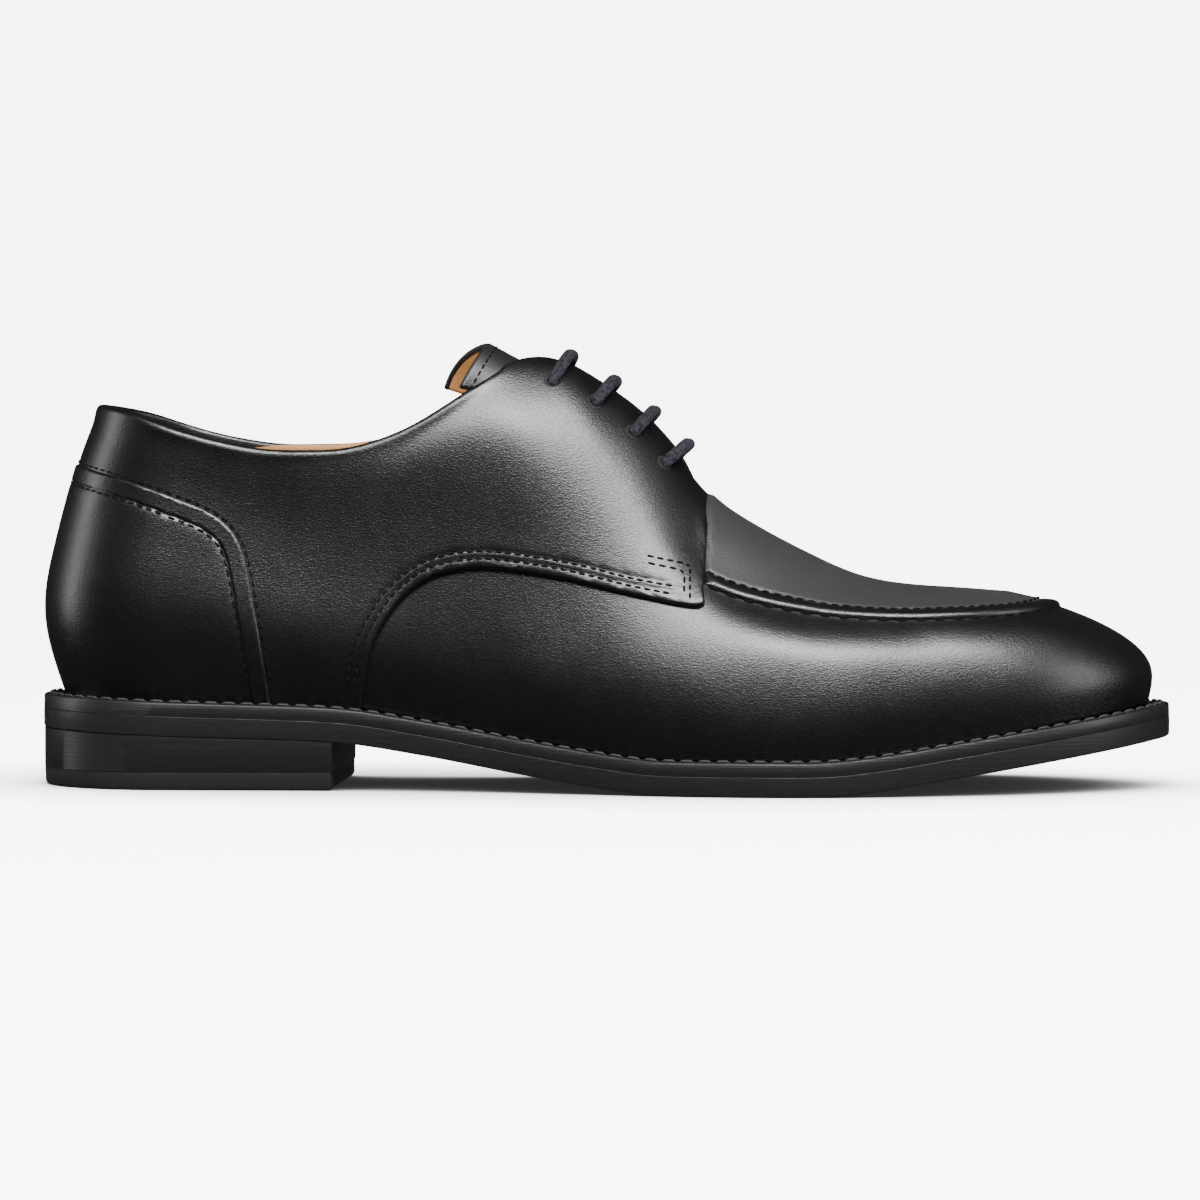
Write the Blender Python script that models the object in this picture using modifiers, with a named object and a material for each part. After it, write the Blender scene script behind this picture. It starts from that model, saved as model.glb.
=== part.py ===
"""Apron toe derby, one right shoe, as the pieces that a shoemaker joins.

Frame: metres, +Z up, the toe towards +X, the outer (lateral) side towards -Y. The origin is on the
floor under the middle of the shoe's box. The tables below are a pattern in millimetres for a shoe
304 long, 105 across the ball and 116 high at the instep, and the driving sizes grade them.
"""

import math

import bmesh
import bpy
import numpy as np
from mathutils import Vector

# Driving sizes
LENGTH = 0.304
BALL_WIDTH = 0.105
INSTEP_HEIGHT = 0.116
SOLE_THICKNESS = 0.009
WELT_THICKNESS = 0.0037
TOP_PIECE_THICKNESS = 0.0047
HEEL_LENGTH = 0.0815
WALL = 0.0018
GAP = 0.0003
QUARTER_THICKNESS = 0.0013
COUNTER_THICKNESS = 0.0019
COUNTER_RIDGE = 0.0010
APRON_THICKNESS = 0.0009
APRON_SEAM = 0.0011
TONGUE_THICKNESS = 0.0024
INSOLE_THICKNESS = 0.0030
LACE_DIAMETER = 0.0032
EYELET_DIAMETER = 0.0042

MM = 0.001
# Metres in the frame for one millimetre of the pattern
GRADE_X = LENGTH / 304
GRADE_Y = BALL_WIDTH / 105
GRADE_Z = INSTEP_HEIGHT / 116
HEEL_AXIS_Y = 2.4 * GRADE_Y

# Rounding of the two ends, as shares of a line's own length
HEEL_END = 0.11
TOE_END = 0.165
EASE = 5.0

# How far each layer of the bottom is set in from the outsole's outline or from the feather, in
# pattern millimetres, and the top piece's rounded edge in metres
WELT_INSET = 0.5
STACK_INSET = 0.8
TOP_PIECE_INSET = 1.0
INSOLE_INSET = 2.6
TOP_PIECE_EDGE = 0.0012

# Outline of the outsole from above: from the heel's back, half width, and the swing of its middle
# line to the inner side. Columns: x, half width, swing.
SOLE_PLAN = (
    (0, 33.6, 0.0),
    (35, 33.8, 0.0),
    (60, 33.6, -0.4),
    (90, 32.4, -2.2),
    (115, 33.0, -4.6),
    (140, 37.0, -6.6),
    (165, 44.2, -6.2),
    (185, 49.6, -4.7),
    (200, 51.9, -3.4),
    (215, 52.3, -2.1),
    (235, 49.2, -0.8),
    (255, 44.9, 0.4),
    (275, 41.2, 1.3),
    (290, 39.2, 1.8),
    (304, 37.0, 2.0),
)

# Underside of the outsole from the side. Columns: x, height.
SOLE_SIDE = (
    (0, 15.6),
    (40, 14.2),
    (81.5, 12.9),
    (103, 10.0),
    (130, 5.3),
    (152, 1.9),
    (170, 0.0),
    (210, 0.0),
    (224, 1.2),
    (245, 4.4),
    (274, 9.0),
    (304, 13.8),
)

# Lines drawn round the last from heel to toe, lowest first. Each has the place of its two ends, its
# height across the wall from 0 at the welt to 1 at the top, how far it follows the sole's swing, and
# rows of x, half width, height. The feather's height comes from the welt instead.
FEATHER = dict(
    ends=(8.0, 298.2),
    place=0.0,
    swing=1.0,
    rows=(
        (0, 26.6, 0), (35, 26.9, 0), (60, 26.9, 0), (90, 26.8, 0), (115, 27.9, 0), (140, 31.8, 0),
        (165, 39.0, 0), (185, 44.3, 0), (200, 46.6, 0), (215, 47.0, 0), (235, 43.9, 0),
        (255, 39.6, 0), (275, 36.2, 0), (290, 34.2, 0), (304, 32.0, 0),
    ),
)
BELLY = dict(
    ends=(2.7, 299.4),
    place=0.15,
    swing=0.96,
    rows=(
        (0, 30.4, 44), (35, 30.6, 43), (60, 30.4, 40), (90, 29.6, 35.5), (115, 30.0, 31.5),
        (140, 33.6, 27), (165, 40.4, 22.5), (185, 45.4, 20), (200, 47.6, 19.2), (215, 48.1, 19.6),
        (235, 45.0, 21.6), (255, 40.6, 24.2), (275, 37.2, 27.2), (304, 33.0, 30),
    ),
)
WALLS = dict(
    ends=(4.7, 296.4),
    place=0.32,
    swing=0.82,
    rows=(
        (0, 28.6, 63), (35, 28.9, 61.3), (60, 28.6, 57), (90, 28.2, 51.5), (115, 28.9, 48),
        (140, 32.0, 43), (165, 38.4, 37.2), (185, 43.4, 33.6), (200, 45.6, 32), (215, 46.1, 31.3),
        (235, 43.1, 32), (255, 38.6, 33.6), (275, 35.0, 35.4), (304, 30.5, 36.6),
    ),
)
SHOULDER = dict(
    ends=(9.6, 286.2),
    place=0.52,
    swing=0.6,
    rows=(
        (0, 25.4, 82.5), (35, 26.0, 78.3), (60, 26.2, 72.6), (90, 26.1, 69.5), (115, 26.4, 70),
        (140, 28.2, 66), (165, 32.8, 54.5), (185, 37.8, 46.6), (200, 40.3, 43.2), (215, 40.9, 41.3),
        (235, 38.0, 41), (255, 34.6, 41.8), (275, 32.0, 43), (290, 30.0, 43.5),
    ),
)
SEAM = dict(
    ends=(12.9, 274.6),
    place=0.70,
    swing=0.4,
    rows=(
        (0, 23.9, 93.4), (35, 24.9, 88), (60, 25.5, 82.3), (90, 25.3, 82.3), (115, 24.6, 90.5),
        (127, 23.9, 93.5), (140, 23.5, 90), (165, 25.6, 71.2), (182, 27.4, 57.3), (200, 29.8, 51),
        (215, 30.8, 48), (235, 30.0, 46.7), (255, 28.6, 47.1), (275, 27.0, 48.2),
    ),
)
CROWN = dict(
    ends=(15.0, 267.5),
    place=0.86,
    swing=0.2,
    rows=(
        (0, 23.5, 99.8), (35, 24.6, 93.3), (60, 25.4, 86.8), (90, 25.0, 88), (115, 22.2, 100),
        (127, 18.2, 106.8), (140, 15.6, 106.6), (151, 15.4, 99.8), (165, 15.5, 88), (180, 15.6, 71.4),
        (200, 16.0, 60.2), (215, 16.4, 54.4), (235, 16.2, 51.2), (255, 15.4, 50.4), (268, 14.6, 49.8),
    ),
)
TOP = dict(
    ends=(16.3, 260.5),
    place=1.0,
    swing=0.0,
    rows=(
        (0, 23.7, 104.6), (24, 24.3, 101), (38, 25.0, 96), (52, 25.4, 92.3), (66, 25.6, 90.1),
        (81, 25.3, 90.2), (95, 24.6, 93.6), (104, 23.9, 97.8), (112, 22.8, 103), (120, 19.8, 108.2),
        (127, 14.6, 112.2), (131, 10.6, 113.8), (136, 6.8, 114.0), (142, 5.2, 112.2),
        (151, 4.8, 106.8), (162, 4.3, 98.8), (168, 3.8, 92.8), (174, 3.0, 85.2), (180, 3.0, 77.7),
        (194, 3.0, 68.4), (205, 3.0, 62.6), (223, 3.0, 55), (235, 3.0, 53.2), (250, 3.0, 52.3),
        (262, 3.0, 51.3),
    ),
)
LINES = (FEATHER, BELLY, WALLS, SHOULDER, SEAM, CROWN, TOP)
SLOT_END = 172.0
CLOSED_FROM = 112.0
CLOSED_AT = 142.0

# Steps of the mesh: round the heel, along the side, round the toe, and places across the wall
HEEL_STEPS = 5
SIDE_STEPS = 21
TOE_STEPS = 8
PLACES = (0, 0.07, 0.15, 0.24, 0.33, 0.43, 0.52, 0.61, 0.70, 0.78, 0.86, 0.93, 1)

# Edges of the overlays as seen from the side: x, height
QUARTER_FRONT = ((178.6, 48.6), (179.8, 53.5), (180.0, 60.0), (180.2, 80.0))
QUARTER_FOOT = (
    (178.6, 48.6), (160, 52.0), (145, 55.6), (132, 57.8), (120, 58.8), (109, 56.8), (101, 51.6),
    (95.6, 44.5), (91.6, 36.0), (89, 22.0),
)
COUNTER_EDGE = (
    (-10, 93.0), (9.8, 86.6), (26, 82.3), (39, 77.8), (49, 73.6), (55, 68.6), (58.2, 62.0),
    (60.8, 50.0), (63.2, 37.0), (65.5, 20.0),
)
COUNTER_RIDGE_WIDTH = 5.2
# Side edges stop at this height, and the line over the welt closes their outlines
FLOOR_CLEAR = 24.5

# Apron: where it comes out from under the quarters, and its seam's width as a share of the wall
APRON_START = 180.7
APRON_ROLL = 0.045

# Slot between the facings from above: x, half width
FACING_SLOT = (
    (120, 5.2), (142, 5.2), (162, 4.6), (170, 4.9), (174, 7.5), (177.4, 12.0), (180.4, 19.0), (186, 19.0),
)

# Tongue's outer face along its middle, from under the vamp to its top. Columns: x, height, slope
# in degrees, radius of its arch, half angle of its arch in degrees.
TONGUE_ROWS = (
    (188, 68.4, 36, 21.0, 38),
    (179, 74.9, 42, 19.5, 44),
    (172, 82.9, 47, 18.0, 52),
    (165, 91.0, 42, 17.2, 60),
    (153, 101.2, 37, 16.8, 66),
    (142, 108.6, 33, 16.4, 70),
    (131, 113.6, 29, 16.0, 74),
    (121, 118.4, 28, 16.6, 80),
)
LACE_ROWS = (142.0, 152.2, 162.0, 171.0)
LACE_LEAN = 30.0
EYELET_PLACE = 0.875
# A bar's way up out of its hole and over to the slot: further up the wall as a share of its height,
# and millimetres over the last
LACE_ROUTE = ((0.0, 0.8), (0.0, 1.9), (0.006, 2.9), (0.018, 3.6), (0.040, 3.8), (0.075, 3.8), (0.110, 3.8))


def clear_scene():
    """Removes the objects that the file opens with."""
    for old in list(bpy.data.objects):
        bpy.data.objects.remove(old)


def read_row(rows, column, x):
    """A cubic through a table's column that never swings past its rows."""
    xs = np.array([row[0] for row in rows], float)
    ys = np.array([row[column] for row in rows], float)
    step = np.diff(xs)
    rise = np.diff(ys) / step
    slope = np.zeros(len(xs))
    for i in range(1, len(xs) - 1):
        if rise[i - 1] * rise[i] > 0:
            before = step[i - 1] + 2 * step[i]
            after = 2 * step[i - 1] + step[i]
            slope[i] = (before + after) / (before / rise[i - 1] + after / rise[i])
    slope[0], slope[-1] = rise[0], rise[-1]
    x = min(max(x, xs[0]), xs[-1])
    i = min(int(np.searchsorted(xs, x, side="right")) - 1, len(step) - 1)
    s = (x - xs[i]) / step[i]
    return float(
        ys[i] * (1 + 2 * s) * (1 - s) ** 2
        + ys[i + 1] * s * s * (3 - 2 * s)
        + slope[i] * step[i] * s * (1 - s) ** 2
        + slope[i + 1] * step[i] * s * s * (s - 1)
    )


def eased(rows, column, x):
    """The same reading, averaged over a few millimetres so that no row shows as a kink."""
    near = read_row(rows, column, x - EASE) + read_row(rows, column, x + EASE)
    return 0.25 * near + 0.5 * read_row(rows, column, x)


def end_rounding(share):
    """1 along the sides, falling to 0 round the heel and the toe as an ellipse does."""
    if share < HEEL_END:
        return math.sqrt(max(0.0, 1 - (1 - share / HEEL_END) ** 2))
    if share > 1 - TOE_END:
        return math.sqrt(max(0.0, 1 - ((share - 1 + TOE_END) / TOE_END) ** 2))
    return 1.0


def stations():
    """Shares of the length, close together round the two ends."""
    quarter_turn = math.pi / 2
    heel = [HEEL_END * (1 - math.cos(quarter_turn * i / HEEL_STEPS)) for i in range(HEEL_STEPS)]
    run = 1 - HEEL_END - TOE_END
    side = [HEEL_END + run * i / SIDE_STEPS for i in range(SIDE_STEPS)]
    toe = [1 - TOE_END * (1 - math.sin(quarter_turn * i / TOE_STEPS)) for i in range(TOE_STEPS + 1)]
    return heel + side + toe


def to_frame(x, y, z):
    """Pattern millimetres to the shoe's frame."""
    return (
        x * GRADE_X - LENGTH / 2,
        y * GRADE_Y + HEEL_AXIS_Y,
        z * GRADE_Z,
    )


def sole_under(x):
    return eased(SOLE_SIDE, 1, x)


def welt_top(x):
    return sole_under(x) + SOLE_THICKNESS / MM


def line_point(line, share, side):
    """A point of one of the last's lines. side is -1 on the outer side and 1 on the inner."""
    heel, toe = line["ends"]
    x = heel + share * (toe - heel)
    half = eased(line["rows"], 1, x) * end_rounding(share)
    height = eased(line["rows"], 2, x)
    if line is FEATHER:
        height = welt_top(x) + GAP / MM
    if line is TOP and x > SLOT_END:
        half = 0.0
    swing = line["swing"] * eased(SOLE_PLAN, 2, x)
    return x, swing + side * half, height


def spline_through(places, values, end_slope, at):
    """Natural cubic through values at places, with a set slope at its last place when one is given."""
    n = len(places)
    step = np.diff(places)
    matrix = np.zeros((n, n))
    right = np.zeros(n)
    matrix[0, 0] = 1
    for i in range(1, n - 1):
        matrix[i, i - 1] = step[i - 1]
        matrix[i, i] = 2 * (step[i - 1] + step[i])
        matrix[i, i + 1] = step[i]
        ahead = (values[i + 1] - values[i]) / step[i]
        behind = (values[i] - values[i - 1]) / step[i - 1]
        right[i] = 6 * (ahead - behind)
    matrix[-1, -1] = 1
    if end_slope is not None:
        matrix[-1, -2] = step[-1]
        matrix[-1, -1] = 2 * step[-1]
        right[-1] = 6 * (end_slope - (values[-1] - values[-2]) / step[-1])
    bend = np.linalg.solve(matrix, right)
    found = []
    for t in at:
        i = min(int(np.searchsorted(places, t, side="right")) - 1, n - 2)
        a = (places[i + 1] - t) / step[i]
        b = (t - places[i]) / step[i]
        curve = ((a**3 - a) * bend[i] + (b**3 - b) * bend[i + 1]) * step[i] ** 2 / 6
        found.append(a * values[i] + b * values[i + 1] + curve)
    return found


def section(share, side, at=PLACES):
    """Points across the wall at one share of the length, from the welt to the top."""
    places = [line["place"] for line in LINES]
    points = [line_point(line, share, side) for line in LINES]
    xs, ys, zs = zip(*points)
    closed = min(1.0, max(0.0, (xs[-1] - CLOSED_FROM) / (CLOSED_AT - CLOSED_FROM)))
    open_slope = [(1 - closed) * (v[-1] - v[-2]) / (places[-1] - places[-2]) for v in (xs, zs)]
    x = spline_through(places, xs, open_slope[0], at)
    y = spline_through(places, ys, None, at)
    z = spline_through(places, zs, open_slope[1], at)
    return list(zip(x, y, z))


def new_object(name, mesh, collection, material=None):
    made = bpy.data.objects.new(name, mesh)
    collection.objects.link(made)
    if material is not None:
        mesh.materials.append(material)
    return made


def leather(name, colour, roughness, metallic=0.0):
    """A plain shader for one piece."""
    made = bpy.data.materials.new(name)
    made.use_nodes = True
    shader = made.node_tree.nodes["Principled BSDF"]
    shader.inputs["Base Color"].default_value = (*colour, 1)
    shader.inputs["Roughness"].default_value = roughness
    shader.inputs["Metallic"].default_value = metallic
    return made


def last_sheet(name, lift, sides=(-1, 1), shares=(0.0, 1.0), places=(0.0, 1.0)):
    """The last's surface as one open sheet, moved out by lift.

    The whole surface is made first, so that its normals are true up to the borders, and what lies
    outside the shares and places is deleted afterwards.
    """
    sheet = bmesh.new()
    marks = sheet.faces.layers.int.new("spare")
    grid = {}
    levels = sorted(set(PLACES) | set(places))
    steps = stations()
    for side in (-1, 1):
        for i, share in enumerate(steps):
            for j, point in enumerate(section(share, side, levels)):
                grid[side, i, j] = sheet.verts.new(to_frame(*point))
    face_of = {}
    for side in (-1, 1):
        for i in range(len(steps) - 1):
            for j in range(len(levels) - 1):
                corners = [
                    grid[side, i, j], grid[side, i + 1, j],
                    grid[side, i + 1, j + 1], grid[side, i, j + 1],
                ]
                if side == 1:
                    corners.reverse()
                middle = (0.5 * (steps[i] + steps[i + 1]), 0.5 * (levels[j] + levels[j + 1]))
                face_of[sheet.faces.new(corners)] = (side, *middle)
    spare = [
        face for face, (side, share, place) in face_of.items()
        if side not in sides
        or not shares[0] < share < shares[1]
        or not places[0] < place < places[1]
    ]
    for face in spare:
        face[marks] = 1
    bmesh.ops.remove_doubles(sheet, verts=sheet.verts, dist=1e-6)
    sheet.normal_update()
    for vert, normal in [(vert, vert.normal.copy()) for vert in sheet.verts]:
        vert.co += normal * lift
    doomed = [face for face in sheet.faces if face[marks] == 1]
    bmesh.ops.delete(sheet, geom=doomed, context="FACES")
    bmesh.ops.triangulate(sheet, faces=sheet.faces, quad_method="FIXED")
    mesh = bpy.data.meshes.new(name)
    sheet.to_mesh(mesh)
    sheet.free()
    return mesh


def thicken(made, thickness, outward):
    """Gives an open sheet its wall."""
    solid = made.modifiers.new("wall", "SOLIDIFY")
    solid.thickness = thickness
    solid.offset = 1.0 if outward else -1.0
    solid.use_even_offset = True
    solid.use_rim = True


def cut(made, cutter, operation):
    boolean = made.modifiers.new(operation.lower(), "BOOLEAN")
    boolean.operation = operation
    boolean.solver = "EXACT"
    boolean.object = cutter


def as_cutter(made):
    made.hide_render = True
    made.display_type = "WIRE"
    return made


def prism(name, outline, axis, low, high, collection):
    """A cutter: an outline drawn across one axis and extruded along it, from low to high."""
    block = bmesh.new()
    if axis == "y":
        ring = [block.verts.new((x, low, z)) for x, z in outline]
        travel = (0, high - low, 0)
    else:
        ring = [block.verts.new((x, y, low)) for x, y in outline]
        travel = (0, 0, high - low)
    face = block.faces.new(ring)
    grown = bmesh.ops.extrude_face_region(block, geom=[face])
    moved = [item for item in grown["geom"] if isinstance(item, bmesh.types.BMVert)]
    bmesh.ops.translate(block, verts=moved, vec=travel)
    bmesh.ops.recalc_face_normals(block, faces=block.faces)
    mesh = bpy.data.meshes.new(name)
    block.to_mesh(mesh)
    block.free()
    return as_cutter(new_object(name, mesh, collection))


def rounded_line(points, steps=4):
    """A smooth line through a few points, as a spline curve bends between its pins."""
    pins = [np.array(point, float) for point in points]
    pins = [2 * pins[0] - pins[1]] + pins + [2 * pins[-1] - pins[-2]]
    line = []
    for a, b, c, d in zip(pins, pins[1:], pins[2:], pins[3:]):
        for i in range(steps):
            s = i / steps
            bend = (2 * a - 5 * b + 4 * c - d) * s**2 + (3 * b - a - 3 * c + d) * s**3
            line.append(0.5 * (2 * b + (c - a) * s + bend))
    line.append(pins[-2])
    return line


def side_outline(points):
    """Pattern points seen from the side, in the frame."""
    placed = [to_frame(x, 0, z) for x, z in points]
    return [(x, z) for x, _, z in placed]


def welt_line(first, last, steps=16):
    """The line just over the welt's top, from x to x."""
    xs = [first + (last - first) * i / steps for i in range(steps + 1)]
    return [(x, welt_top(x) + 2 * GAP / MM) for x in xs]


def plan_rows(inset, last=None):
    """Rows across the sole's outline, set in by some millimetres: x, outer edge, inner edge."""
    length = LENGTH / GRADE_X
    shares = stations()
    xs = [inset + share * (length - 2 * inset) for share in shares]
    if last is not None:
        xs = [x for x in xs if x < last - 1] + [last]
    rows = []
    for x in xs:
        share = (x - inset) / (length - 2 * inset)
        half = (eased(SOLE_PLAN, 1, x) - inset) * end_rounding(share)
        swing = eased(SOLE_PLAN, 2, x)
        rows.append((x, swing - half, swing + half))
    return rows


def plate(name, rows, low, high, collection, material, across=2):
    """A solid between two heights over a run of rows: a flat sheet extruded upwards."""
    block = bmesh.new()
    lines = []
    for x, outer, inner in rows:
        if inner - outer < 1e-4:
            lines.append([block.verts.new(to_frame(x, outer, low(x)))] * (across + 1))
            continue
        ys = [outer + (inner - outer) * i / across for i in range(across + 1)]
        lines.append([block.verts.new(to_frame(x, y, low(x))) for y in ys])
    for back, front in zip(lines, lines[1:]):
        for i in range(across):
            corners = [back[i], front[i], front[i + 1], back[i + 1]]
            unique = list(dict.fromkeys(corners))
            block.faces.new(unique)
    base = list(block.faces)
    grown = bmesh.ops.extrude_face_region(block, geom=base)
    for item in grown["geom"]:
        if isinstance(item, bmesh.types.BMVert):
            x = (item.co.x + LENGTH / 2) / GRADE_X
            item.co.z = to_frame(x, 0, high(x))[2]
    bmesh.ops.recalc_face_normals(block, faces=block.faces)
    mesh = bpy.data.meshes.new(name)
    block.to_mesh(mesh)
    block.free()
    return new_object(name, mesh, collection, material)


def round_edges(made, width, segments=2):
    bevel = made.modifiers.new("edges", "BEVEL")
    bevel.width = width
    bevel.segments = segments
    bevel.limit_method = "ANGLE"
    bevel.angle_limit = math.radians(50)
    bevel.use_clamp_overlap = True


def make_sole(collection, cutters):
    """Outsole, welt, heel and insole, from the floor up."""
    outsole_top = SOLE_THICKNESS - WELT_THICKNESS - GAP
    plate(
        "outsole", plan_rows(0.0), sole_under, lambda x: sole_under(x) + outsole_top / MM,
        collection, leather("outsole", (0.012, 0.012, 0.013), 0.5),
    )
    welt = plate(
        "welt", plan_rows(WELT_INSET), lambda x: welt_top(x) - WELT_THICKNESS / MM, welt_top,
        collection, leather("welt", (0.014, 0.013, 0.013), 0.45),
    )
    inside = plate(
        "insole_hole", feather_rows(INSOLE_INSET - GAP / MM), lambda x: -20.0, lambda x: 60.0, cutters, None
    )
    cut(welt, as_cutter(inside), "DIFFERENCE")
    insole_top = GAP / MM + INSOLE_THICKNESS / MM
    plate(
        "insole", feather_rows(INSOLE_INSET),
        lambda x: sole_under(x) + (outsole_top + GAP) / MM, lambda x: welt_top(x) + insole_top,
        collection, leather("insole", (0.42, 0.24, 0.11), 0.7),
    )
    breast = HEEL_LENGTH / GRADE_X
    top_piece_top = TOP_PIECE_THICKNESS / MM
    plate(
        "heel_stack", plan_rows(STACK_INSET, last=breast), lambda x: top_piece_top + GAP / MM, lambda x: sole_under(x) - GAP / MM,
        collection, leather("heel_stack", (0.012, 0.011, 0.011), 0.4),
    )
    top_piece = plate(
        "heel_top_piece", plan_rows(TOP_PIECE_INSET, last=breast - GAP / MM), lambda x: 0.0,
        lambda x: top_piece_top, collection, leather("heel_top_piece", (0.01, 0.01, 0.01), 0.65),
    )
    round_edges(top_piece, TOP_PIECE_EDGE)


def feather_rows(inset):
    """Rows across the upper's bottom edge, set in by some millimetres."""
    rows = []
    for share in stations():
        x, outer, _ = line_point(FEATHER, share, -1)
        _, inner, _ = line_point(FEATHER, share, 1)
        middle = 0.5 * (outer + inner)
        half = max(0.0, 0.5 * (inner - outer) * (1 - inset / FEATHER["rows"][0][1]))
        centre = 0.5 * sum(FEATHER["ends"])
        reach = 0.5 * (FEATHER["ends"][1] - FEATHER["ends"][0])
        x = centre + (x - centre) * (1 - inset / reach)
        rows.append((x, middle - half, middle + half))
    return rows


def make_upper(collection):
    """Vamp, quarter backing and lining: one hollow wall, open at collar, throat and underneath."""
    black = leather("upper", (0.011, 0.012, 0.012), 0.38)
    upper = new_object("upper", last_sheet("upper", 0.0), collection, black)
    thicken(upper, WALL, outward=False)
    return upper


def make_quarters(collection, cutters, counter_cutter, holes):
    """The two laced side panels, sewn over the vamp and cut back for the heel counter."""
    black = leather("quarter", (0.012, 0.013, 0.013), 0.36)
    front = rounded_line(QUARTER_FRONT, 2)
    foot = rounded_line(QUARTER_FOOT)
    floor = welt_line(89, -6)
    above = [(QUARTER_FRONT[-1][0], 130), (-12, 130)]
    foot_up = [point for point in foot[:0:-1] if point[1] > FLOOR_CLEAR]
    outline = side_outline(list(front) + above + floor[::-1] + foot_up)
    slot_plan = [to_frame(x, -width, 0)[:2] for x, width in FACING_SLOT]
    slot_plan += [to_frame(x, width, 0)[:2] for x, width in FACING_SLOT[::-1]]
    slot = prism("facing_slot", slot_plan, "z", 0.06, 0.14, cutters)
    reach = BALL_WIDTH
    sides = (
        ("quarter_lateral", -1, -reach, HEEL_AXIS_Y - GAP / 2),
        ("quarter_medial", 1, HEEL_AXIS_Y + GAP / 2, reach),
    )
    for name, side, low, high in sides:
        sheet = last_sheet(name, GAP, sides=(side,), shares=(0.0, 0.80))
        quarter = new_object(name, sheet, collection, black)
        thicken(quarter, QUARTER_THICKNESS, outward=True)
        cut(quarter, prism(name + "_outline", outline, "y", low, high, cutters), "INTERSECT")
        cut(quarter, slot, "DIFFERENCE")
        cut(quarter, counter_cutter, "DIFFERENCE")
        for hole in [hole for hole_side, hole in holes if hole_side == side]:
            cut(quarter, hole, "DIFFERENCE")


def ridge(name, lift, thickness, collection, **patch):
    """A strip of the last's surface that is raised over its neighbours, to be joined to one of them."""
    strip = as_cutter(new_object(name, last_sheet(name, lift, **patch), collection))
    thicken(strip, thickness, outward=True)
    return strip


def make_counter(collection, cutters):
    """The heel counter with the raised rolled edge that joins it to the quarters."""
    edge = rounded_line(COUNTER_EDGE)
    floor = welt_line(64.2, -6)
    above_floor = [point for point in edge if point[1] > FLOOR_CLEAR]

    def region(name, line, bottom):
        outline = side_outline([(-14, line[0][1])] + line + bottom)
        return prism(name, outline, "y", -BALL_WIDTH, BALL_WIDTH, cutters)

    black = leather("heel_counter", (0.012, 0.013, 0.013), 0.34)
    sheet = last_sheet("heel_counter", GAP, shares=(0.0, 0.30))
    counter = new_object("heel_counter", sheet, collection, black)
    thicken(counter, COUNTER_THICKNESS, outward=True)
    roll = ridge("counter_roll", 2 * GAP, COUNTER_THICKNESS + COUNTER_RIDGE, cutters, shares=(0.0, 0.30))
    beyond = [(x + 20, z + 20) for x, z in edge]
    band = side_outline(inset_line(edge, COUNTER_RIDGE_WIDTH) + beyond[::-1])
    cut(roll, prism("counter_roll_outline", band, "y", -BALL_WIDTH, BALL_WIDTH, cutters), "INTERSECT")
    cut(counter, roll, "UNION")
    inside = inset_line(above_floor, GAP / MM)
    cut(counter, region("counter_outline", inside, floor + [(-14, floor[-1][1])]), "INTERSECT")
    return region("counter_room", edge, [(edge[-1][0], 5.0), (-14, 5.0)])


def make_apron(collection, cutters):
    """The apron set into the vamp, with the raised seam round its edge."""
    black = leather("apron", (0.013, 0.014, 0.014), 0.5)
    shares = (0.55, 1.0)
    sheet = last_sheet("apron", GAP, shares=shares, places=(SEAM["place"], 1.0))
    apron = new_object("apron", sheet, collection, black)
    thicken(apron, APRON_THICKNESS, outward=True)
    roll = ridge(
        "apron_roll", 2 * GAP, APRON_THICKNESS + APRON_SEAM, cutters,
        shares=shares, places=(SEAM["place"], SEAM["place"] + APRON_ROLL),
    )
    cut(apron, roll, "UNION")
    ahead = side_outline([(APRON_START, 20), (APRON_START, 110), (300, 110), (300, 20)])
    cut(apron, prism("apron_outline", ahead, "y", -BALL_WIDTH, BALL_WIDTH, cutters), "INTERSECT")


def make_tongue(collection):
    """The tongue, an arched strip under the facings that stands a little over them at the top."""
    columns = 10
    rows = rounded_line(TONGUE_ROWS, 2)
    cloth = bmesh.new()
    grid = []
    for x, z, slope, radius, spread in rows:
        slope = math.radians(slope)
        line = []
        for i in range(columns + 1):
            turn = math.radians(spread) * (2 * i / columns - 1)
            drop = radius * (1 - math.cos(turn))
            point = (x - drop * math.sin(slope), radius * math.sin(turn), z - drop * math.cos(slope))
            line.append(cloth.verts.new(to_frame(*point)))
        grid.append(line)
    for low, high in zip(grid, grid[1:]):
        for i in range(columns):
            cloth.faces.new((low[i], low[i + 1], high[i + 1], high[i]))
    mesh = bpy.data.meshes.new("tongue")
    cloth.to_mesh(mesh)
    cloth.free()
    tongue = new_object("tongue", mesh, collection, leather("tongue", (0.012, 0.012, 0.012), 0.5))
    thicken(tongue, TONGUE_THICKNESS, outward=False)


def share_at(x, place):
    """The share of the length at which a place across the wall lies at x."""
    places = [line["place"] for line in LINES]
    ends = [[line["ends"][i] for line in LINES] for i in (0, 1)]
    heel, toe = (spline_through(places, end, None, [place])[0] for end in ends)
    return (x - heel) / (toe - heel)


def over_last(x, place, side, lift):
    """A point over the last, lift metres along its normal, and that normal."""
    tiny = 0.002
    share = share_at(x, place)
    here, along = (np.array(to_frame(*section(s, side, [place])[0])) for s in (share, share + tiny))
    below = np.array(to_frame(*section(share, side, [place - tiny])[0]))
    normal = np.cross(here - below, along - here) * side
    normal /= np.linalg.norm(normal)
    return here + lift * normal, normal


def lace_x(crest, place):
    """Lace rows lie square to the instep, so they lean forward as they rise."""
    return crest - LACE_LEAN * (1 - place)


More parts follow.
